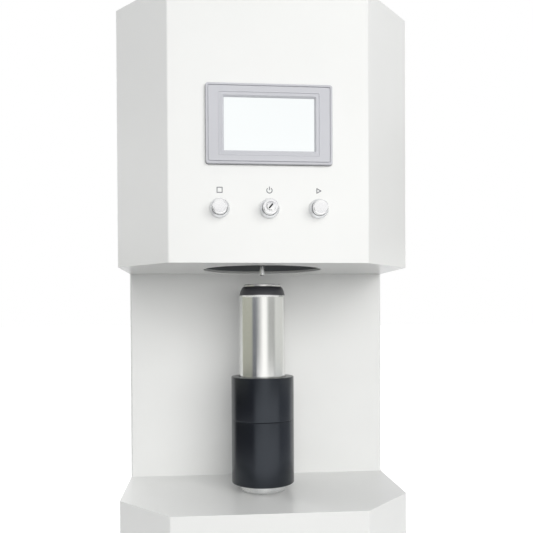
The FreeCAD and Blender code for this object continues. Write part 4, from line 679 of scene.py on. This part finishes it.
@dataclass
class ControlPanel:
    """The lit touch screen in its bezel, two push buttons, the key switch and their signs.

    Lengths are in millimetres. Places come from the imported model.

    Attributes:
        groove: Distance of the fine groove from the bezel's edge.
        line: Width of the fine groove and of the raised line.
        sign_rise: Height of the signs' middle over the buttons' middle.
        sign_depth: Thickness of the printed signs.
        ring_land: Thickness of a collar at its edge.
        dish_radius: Radius of a cap's dished face.
        dish: Depth of that dish in its middle.
        key_angle: Turn of the key way in degrees.
        stroke: Width of the signs' strokes.
    """

    groove: float = 2.3
    line: float = 0.8
    sign_rise: float = 20.0
    sign_depth: float = 0.12
    ring_land: float = 1.5
    dish_radius: float = 7.0
    dish: float = 0.25
    key_angle: float = 50.0
    stroke: float = 1.0

    def __post_init__(self) -> None:
        """Reads the panel's plane, the screen's place and the buttons' places."""
        low, high = corners("screen_bezel")
        self.plane = high[1]
        self.screen_level = (low[2] + high[2]) / 2
        self.bezel = high[0] - low[0], high[2] - low[2]
        low, high = corners("screen_glass")
        self.pane = high[0] - low[0], high[2] - low[2], self.plane - low[1]
        low, high = corners("start_collar")
        self.spread = (low[0] + high[0]) / 2
        self.button_level = (low[2] + high[2]) / 2
        self.collar = (high[2] - low[2]) / 2, self.plane - low[1], high[1] - self.plane

    def build(self) -> None:
        """Builds the bezel, the screen, the collars, the caps, the key switch and the signs."""
        self._bezel()
        self._gasket()
        self._screen()
        self._collars()
        self._caps()
        self._lock()
        self._signs()

    def _rows(self, rows: Sequence[tuple[float, float, float]], size: Sequence[float]) -> tuple[list, list]:
        """Outlines and depths of a moulding from rows of inset, corner radius and rise."""
        outlines = [rectangle(size[0] - inset * 2, size[1] - inset * 2, (0.0, self.screen_level), radius)
                    for inset, radius, _ in rows]
        return outlines, [self.plane - rise for *_, rise in rows]

    def _bezel(self) -> None:
        """The moulded frame: a rim up to the fine groove, then the face down to the window.

        The rim and the outer part of the face are inset from the bezel's edge, the raised line and
        the slope to the window from the edge of the pane.
        """
        inner, deep = self.groove, self.groove + self.line
        rim = [(0.0, 3.0, 0.0), (0.0, 3.0, 4.3), (0.15, 2.9, 4.7), (0.5, 2.7, 5.0),
               (inner - 0.1, 1.9, 5.0), (inner, 1.8, 4.9), (inner + 0.05, 1.8, 3.8), (deep, 1.8, 3.8),
               (deep, 1.8, 0.0)]
        add_piece("screen_bezel_rim", [stacked(*self._rows(rim, self.bezel), True)], "housing",
                  "bezel_plastic", finish=BEZEL_RIM, sharp=24.0)
        face = [(deep, 1.8, 0.0), (deep, 1.8, 4.85), (deep + 0.12, 1.7, 5.0)]
        slope = [(-4.0, 1.6, 5.0), (-3.85, 1.6, 5.38), (-3.25, 1.5, 5.38), (-3.0, 1.5, 4.6), (0.2, 1.3, 5.3),
                 (0.9, 1.2, 4.6), (1.5, 0.8, 3.4), (1.9, 0.6, 2.6), (2.0, 0.5, 2.02), (-0.2, 0.5, 2.02),
                 (-0.2, 0.5, 0.0)]
        outer, outer_depths = self._rows(face, self.bezel)
        inward, inward_depths = self._rows(slope, self.pane)
        add_piece("screen_bezel_moulding", [stacked(outer + inward, outer_depths + inward_depths, True)],
                  "housing", "bezel_plastic", ["screen_bezel"], sharp=24.0)

    def _gasket(self) -> None:
        """The thin rubber gasket that shows as a dark line between the bezel and the panel."""
        rows = [(-0.4, 3.4, 0.0), (-0.4, 3.4, 0.7), (-0.2, 3.2, 0.9), (0.1, 3.0, 0.9), (0.1, 3.0, 0.0)]
        add_piece("bezel_gasket", [stacked(*self._rows(rows, self.bezel), True)], "housing", "rubber",
                  finish=GASKET)

    def _screen(self) -> None:
        """The lit pane behind the bezel, with a softened edge."""
        wide, high, thick = self.pane
        rows = [(0.2, 0.6, 0.0), (0.0, 0.8, 0.2), (0.0, 0.8, thick - 0.2), (0.2, 0.6, thick)]
        outlines, depths = self._rows(rows, (wide, high))
        add_piece("lit_screen_pane", [stacked(outlines, depths, False, caps=True)], "housing", "screen_glass",
                  ["screen_glass"])

    def _place(self, step: int) -> tuple[float, float, float]:
        """The middle of a button on the panel's plane, in metres: step -1 stop, 0 power, 1 start."""
        return self.spread * step * MM, self.plane * MM, self.button_level * MM

    def _collars(self) -> None:
        """The three collars, each with a rounded shoulder and a tail behind the panel."""
        low, high = corners("start_button")
        bore = (high[2] - low[2]) / 2 + 0.3
        rim, reach, tail = self.collar
        barrel = rim - 1.5
        profile = rounded_path(
            [(bore, -tail), (barrel, -tail), (barrel, 0.0), (rim, 0.0), (rim, self.ring_land),
             (barrel + 0.15, reach - 0.25), (barrel - 0.3, reach), (bore, reach)],
            [0.2, 0.2, 0.0, 0.3, 0.6, 0.4, 0.3, 0.25], True) * MM
        for name, step in (("stop", -1), ("power", 0), ("start", 1)):
            add_piece(f"{name}_button_collar", [revolved(profile, self._place(step), "-Y")], "housing",
                      "stainless", [f"{name}_collar"], finish=COLLAR_STEEL)

    def _plunger(self, node: str, face: Array) -> Array:
        """The turned profile of a cap: its stem, its tail, its side and then its face.

        Args:
            node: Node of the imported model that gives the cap's reach, radius and stem.
            face: Radius and drop pairs of the face, from its edge to the middle.

        Returns:
            Radius and height pairs, in metres.
        """
        low, high = corners(node)
        radius, reach, stem = (high[2] - low[2]) / 2, self.plane - low[1], high[1] - self.plane
        side = rounded_path([(0.0, -stem), (3.0, -stem), (3.0, -4.0), (radius, -4.0), (radius, reach),
                             (face[0, 0], reach - face[0, 1])], [0.0, 0.4, 0.0, 0.4, 0.8, 0.0], False)
        front = np.stack([face[1:, 0], reach - face[1:, 1]], axis=1)
        return np.vstack([side, front]) * MM

    def _caps(self) -> None:
        """The stop and start caps: dished, and the stop cap with a fine turned ring.

        At each radius the face drops by the depth of the dish, times one less the square of the
        radius over the dish's own radius.
        """
        radius = np.linspace(self.dish_radius, 0.0, 16)
        drop = self.dish * (1 - (radius / self.dish_radius) ** 2)
        plain = np.stack([radius, drop], axis=1)
        ring = np.array([(self.dish_radius, 0.0), (6.7, 0.05), (6.6, 0.3), (6.2, 0.3), (6.1, 0.06)])
        turned = np.vstack([ring, plain[plain[:, 0] < 6.0]])
        for name, step, face in (("stop", -1, turned), ("start", 1, plain)):
            profile = self._plunger(f"{name}_button", face)
            add_piece(f"{name}_button_cap", [revolved(profile, self._place(step), "-Y", closed=False)],
                      f"{name}_button", "stainless", [f"{name}_button"])

    def _lock(self) -> None:
        """The key switch: a cap with a turned plug in its face, and painted shade for the recessed key way
        and for the shaded arc of a ring beside it.
        """
        face = np.array([(7.2, 0.0), (6.15, 0.0), (6.05, 0.55), (5.5, 0.55), (5.35, 0.1), (5.0, 0.0),
                         (0.0, 0.0)])
        profile = self._plunger("power_lock", face)
        add_piece("key_switch_cap", [revolved(profile, self._place(0), "-Y", closed=False)], "power_lock",
                  "stainless", ["power_lock"])
        low, _ = corners("power_lock")
        turn = math.radians(self.key_angle)
        spin = np.array([(math.cos(turn), math.sin(turn)), (-math.sin(turn), math.cos(turn))])
        middle = (0.0, self.button_level)
        # Painted shade: thin dark slabs on the plug's face stand in for the shaded key way and the shaded arc
        # of a ring.
        way = rectangle(6.6, 1.7, (0.0, 0.0), 0.8) @ spin + middle
        arc = np.radians(np.linspace(150, 290, 20))
        bow = np.stack([np.cos(arc), np.sin(arc)], axis=1)
        mark = np.vstack([bow * 4.7, bow[::-1] * 4.1]) + middle
        front, rear = low[1] * MM, (low[1] + 0.6) * MM
        add_piece("key_way_painted_shade", [prism(outline * MM, front, rear) for outline in (way, mark)], "power_lock",
                  "stainless", finish=KEY_WAY_SHADE)

    def _signs(self) -> None:
        """Thin printed signs over the buttons: a square, a power sign and a triangle."""
        front, rear = self.plane - self.sign_depth, self.plane + 0.05
        level = self.button_level + self.sign_rise
        square = rectangle(6.6, 6.6, (-self.spread, level), 0.6)
        tips = np.array([(-2.6, -3.4), (3.6, 0.0), (-2.6, 3.4)]) + (self.spread, level)
        triangle = rounded_path(tips, [0.5] * 3, True)
        turn = np.radians(np.linspace(90 + 38, 450 - 38, 48))
        arc = np.stack([np.cos(turn), np.sin(turn)], axis=1)
        sweep = np.vstack([arc * 3.5, arc[::-1] * 2.5]) + (0.0, level)
        bar = rectangle(self.stroke, 3.9, (0.0, level + 2.2), 0.1)
        surfaces = []
        for shape in (square, triangle):
            inner = shape + inward_normals(shape) * self.stroke
            surfaces.append(stacked([shape, shape, inner, inner], [rear, front, front, rear], True))
        for shape in (sweep, bar):
            surfaces.append(prism(shape * MM, front * MM, rear * MM))
        add_piece("button_signs", surfaces, "housing", "bezel_plastic", finish=DARK_MARK)


@dataclass
class FillingPort:
    """The splash shroud over the round port and the thin tube in its middle, in millimetres.

    Attributes:
        bore: Radius of the port.
        wall: Wall of the shroud.
        collar: Radius of the hole in the shroud's lid.
        flange: Thickness of the shroud's flange.
        tube_bore: Radius of the tube's bore.
    """

    bore: float = 74.0
    wall: float = 2.0
    collar: float = 12.3
    flange: float = 3.0
    tube_bore: float = 2.4

    def build(self) -> None:
        """Builds the shroud and the tube."""
        x, y = node_centre("filling_tube")
        low, high = corners("splash_shroud")
        foot, lid, edge = low[2], high[2], (high[0] - low[0]) / 2
        bore, skin = self.bore, self.bore + self.wall
        shroud = rounded_path(
            [(bore, foot), (edge, foot), (edge, foot + self.flange), (skin, foot + self.flange), (skin, lid),
             (self.collar, lid), (self.collar, lid - self.wall), (bore, lid - self.wall)],
            [0.3, 0.5, 0.5, 1.0, 4.0, 0.3, 0.3, 3.0], True) * MM
        add_piece("port_shroud", [revolved(shroud, (x, y, 0.0))], "housing", "grey_plastic",
                  ["splash_shroud"], finish=DARK_ROOM)
        low, high = corners("filling_tube")
        tip, top, skin, bore = low[2], high[2], (high[0] - low[0]) / 2, self.tube_bore
        tube = rounded_path(
            [(bore, tip + 0.4), (bore + 0.4, tip), (skin, tip + 0.6), (skin, top), (bore, top)],
            [0.1, 0.2, 0.2, 0.1, 0.1], True) * MM
        add_piece("filling_tube_drawn", [revolved(tube, (x, y, 0.0), segments=48)], "housing", "stainless",
                  ["filling_tube"])


@dataclass
class CanHolder:
    """The bright lift plate, the black block and the black sleeve, in millimetres.

    Attributes:
        bore: Radius of the sleeve's bore.
        recess: Depth of the recess under the block.
        recess_radius: Radius of that recess, which sits on the plate's spigot.
        spigot: Height of the spigot on the plate.
        spigot_radius: Radius of that spigot.
        stud: Radius of the hole in the plate.
        register: Height of the register between block and sleeve.
        edge: Rounding of the black edges.
        fit: Play of the register in the sleeve.
    """

    bore: float = 29.4
    recess: float = 13.0
    recess_radius: float = 15.05
    spigot: float = 4.0
    spigot_radius: float = 15.0
    stud: float = 6.05
    register: float = 13.7
    edge: float = 0.9
    fit: float = 0.05

    def build(self) -> None:
        """Builds the three turned pieces."""
        centre = (*node_centre("lift_plate"), 0.0)
        low, high = corners("lift_plate")
        foot, top, radius = low[2], high[2] - self.spigot, (high[0] - low[0]) / 2
        plate = rounded_path(
            [(self.stud, foot), (radius, foot), (radius, top), (self.spigot_radius, top),
             (self.spigot_radius, top + self.spigot), (self.stud, top + self.spigot)],
            [0.2, 1.2, 0.5, 0.0, 0.4, 0.2], True) * MM
        add_piece("lift_plate_turned", [revolved(plate, centre)], "lift", "aluminium", ["lift_plate"])
        low, high = corners("holder_block")
        foot, top, radius = low[2], high[2] - self.register, (high[0] - low[0]) / 2
        edge, neck = self.edge, self.bore - self.fit
        block = rounded_path(
            [(0.0, foot + self.recess), (self.recess_radius, foot + self.recess), (self.recess_radius, foot),
             (radius, foot), (radius, top), (neck, top), (neck, top + self.register),
             (0.0, top + self.register)],
            [0.0, 0.5, 0.5, edge, edge, 0.0, 0.5, 0.0], False, steps=8) * MM
        add_piece("holder_block_turned", [revolved(block, centre, closed=False)], "lift", "black_plastic",
                  ["holder_block"])
        low, high = corners("can_sleeve")
        foot, top = low[2], high[2]
        sleeve = rounded_path([(self.bore, foot), (radius, foot), (radius, top), (self.bore, top)],
                              [0.2, edge, edge, 1.2], True, steps=8) * MM
        add_piece("can_sleeve_turned", [revolved(sleeve, centre)], "lift", "black_plastic", ["can_sleeve"])


@dataclass
class Can:
    """The drawn aluminium can, open at its neck, in millimetres.

    Attributes:
        wall: Wall of the sheet.
        neck: Radius of the neck.
        lip: Radius of the curled lip.
        curl: Radius of the lip's section.
        shoulder: Height of the shoulder and the neck together.
        collar: Height of the straight neck with its curl.
        heel: Height of the rounded heel.
        foot: Radius of the ring that the can stands on.
        dome: Rise of the domed bottom.
        band: Number of the shoulder's points, from below, that the painted dark reflection leaves bare.
        cone: Part of a straight cone in the shoulder; the rest is a quarter ellipse.
    """

    wall: float = 0.4
    neck: float = 23.0
    lip: float = 24.0
    curl: float = 0.85
    shoulder: float = 17.0
    collar: float = 2.6
    heel: float = 13.0
    foot: float = 21.5
    dome: float = 9.0
    band: int = 3
    cone: float = 0.15

    def _shoulder_curve(self, radius: float, top: float) -> Array:
        """The domed shoulder from the wall to the neck, as radius and height pairs.

        At the share u of the height, the radius is the neck's plus the difference to the wall's
        times a mix of a straight cone and a quarter ellipse. The cone's part is eased in over the
        first fifth, so that the wall runs smoothly into it.
        """
        share = np.sin(np.linspace(0, np.pi / 2, 22))
        cone = 1 - share * np.clip(share / 0.2, 0, 1)
        bow = np.sqrt(np.clip(1 - share ** 2, 0, 1))
        reach = self.neck + (radius - self.neck) * (self.cone * cone + (1 - self.cone) * bow)
        return np.stack([reach, top - self.shoulder + (self.shoulder - self.collar) * share], axis=1)

    def _painted_reflection_band(self, shoulder: Array, low: float) -> None:
        """A band of painted reflection over the shoulder: a dark tone standing in for the dark port that the
        shoulder mirrors, as a thin skin half sunk into the can's wall.
        """
        outer, inner = shoulder[self.band:] + (0.06, 0.0), shoulder[self.band:][::-1] - (0.1, 0.05)
        band = (np.vstack([outer, inner]) + (0.0, low)) * MM
        add_piece("can_neck_painted_reflection", [revolved(band, (*node_centre("can"), 0.0), segments=CAN_SEGMENTS)],
                  "can", "can_aluminium", finish=NECK_PAINTED_REFLECTION, sharp=50.0)

    def build(self) -> None:
        """Builds the can as one shell: outside up to the lip, then inside down to the dome.

        The dome's height falls from its middle to the foot as a cosine of the radius.
        """
        low, high = corners("can")
        radius, top = (high[0] - low[0]) / 2, high[2] - low[2]
        share = np.linspace(0, 1, 14)[:-1]
        dome = np.stack([self.foot * 0.9 * share, self.dome * np.cos(share * np.pi / 2)], axis=1)
        heel = rounded_path(
            [(self.foot * 0.9, 1.2), (self.foot, 0.0), (self.foot + 1.6, 0.0),
             (radius - 2.2, self.heel * 0.54), (radius, self.heel), (radius, self.heel * 3)],
            [0.0, 0.7, 1.2, 6.0, 6.0, 0.0], False, steps=8)
        shoulder = self._shoulder_curve(radius, top)
        neck = np.array([(self.neck, top - self.curl * 2)])
        curl = np.radians(np.linspace(-140, 90, 12))
        bead = np.stack([self.lip - self.curl * (1 - np.cos(curl)),
                         top - self.curl * (1 - np.sin(curl))], axis=1)
        inside = np.vstack([dome, heel[1:], shoulder, neck])
        outside = np.vstack([inside, bead])
        normal = np.gradient(inside, axis=0)
        normal = np.stack([-normal[:, 1], normal[:, 0]], axis=1)
        normal /= np.maximum(np.linalg.norm(normal, axis=1, keepdims=True), LEAST_SIZE)
        normal[0] = (0.0, 1.0)
        inside = (inside + normal * self.wall)[::-1]
        inside[-1, 0] = 0.0
        profile = (np.vstack([outside, inside]) + (0.0, low[2])) * MM
        shell = revolved(profile, (*node_centre("can"), 0.0), closed=False, segments=CAN_SEGMENTS)
        add_piece("open_can", [shell], "can", "can_aluminium", ["can"], sharp=50.0)
        # Painted reflection: a dark band over the shoulder for the dark port that it mirrors.
        self._painted_reflection_band(shoulder, low[2])


def main() -> None:
    """Builds the studio and the sub-assemblies in order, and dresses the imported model."""
    logging.basicConfig(level=logging.INFO, format="%(name)s: %(message)s")
    dress_nodes()
    for assembly in (Studio(), ControlPanel(), FillingPort(), CanHolder(), Can()):
        assembly.build()
        LOG.info("%s built", type(assembly).__name__)


if __name__ == "__main__":
    main()
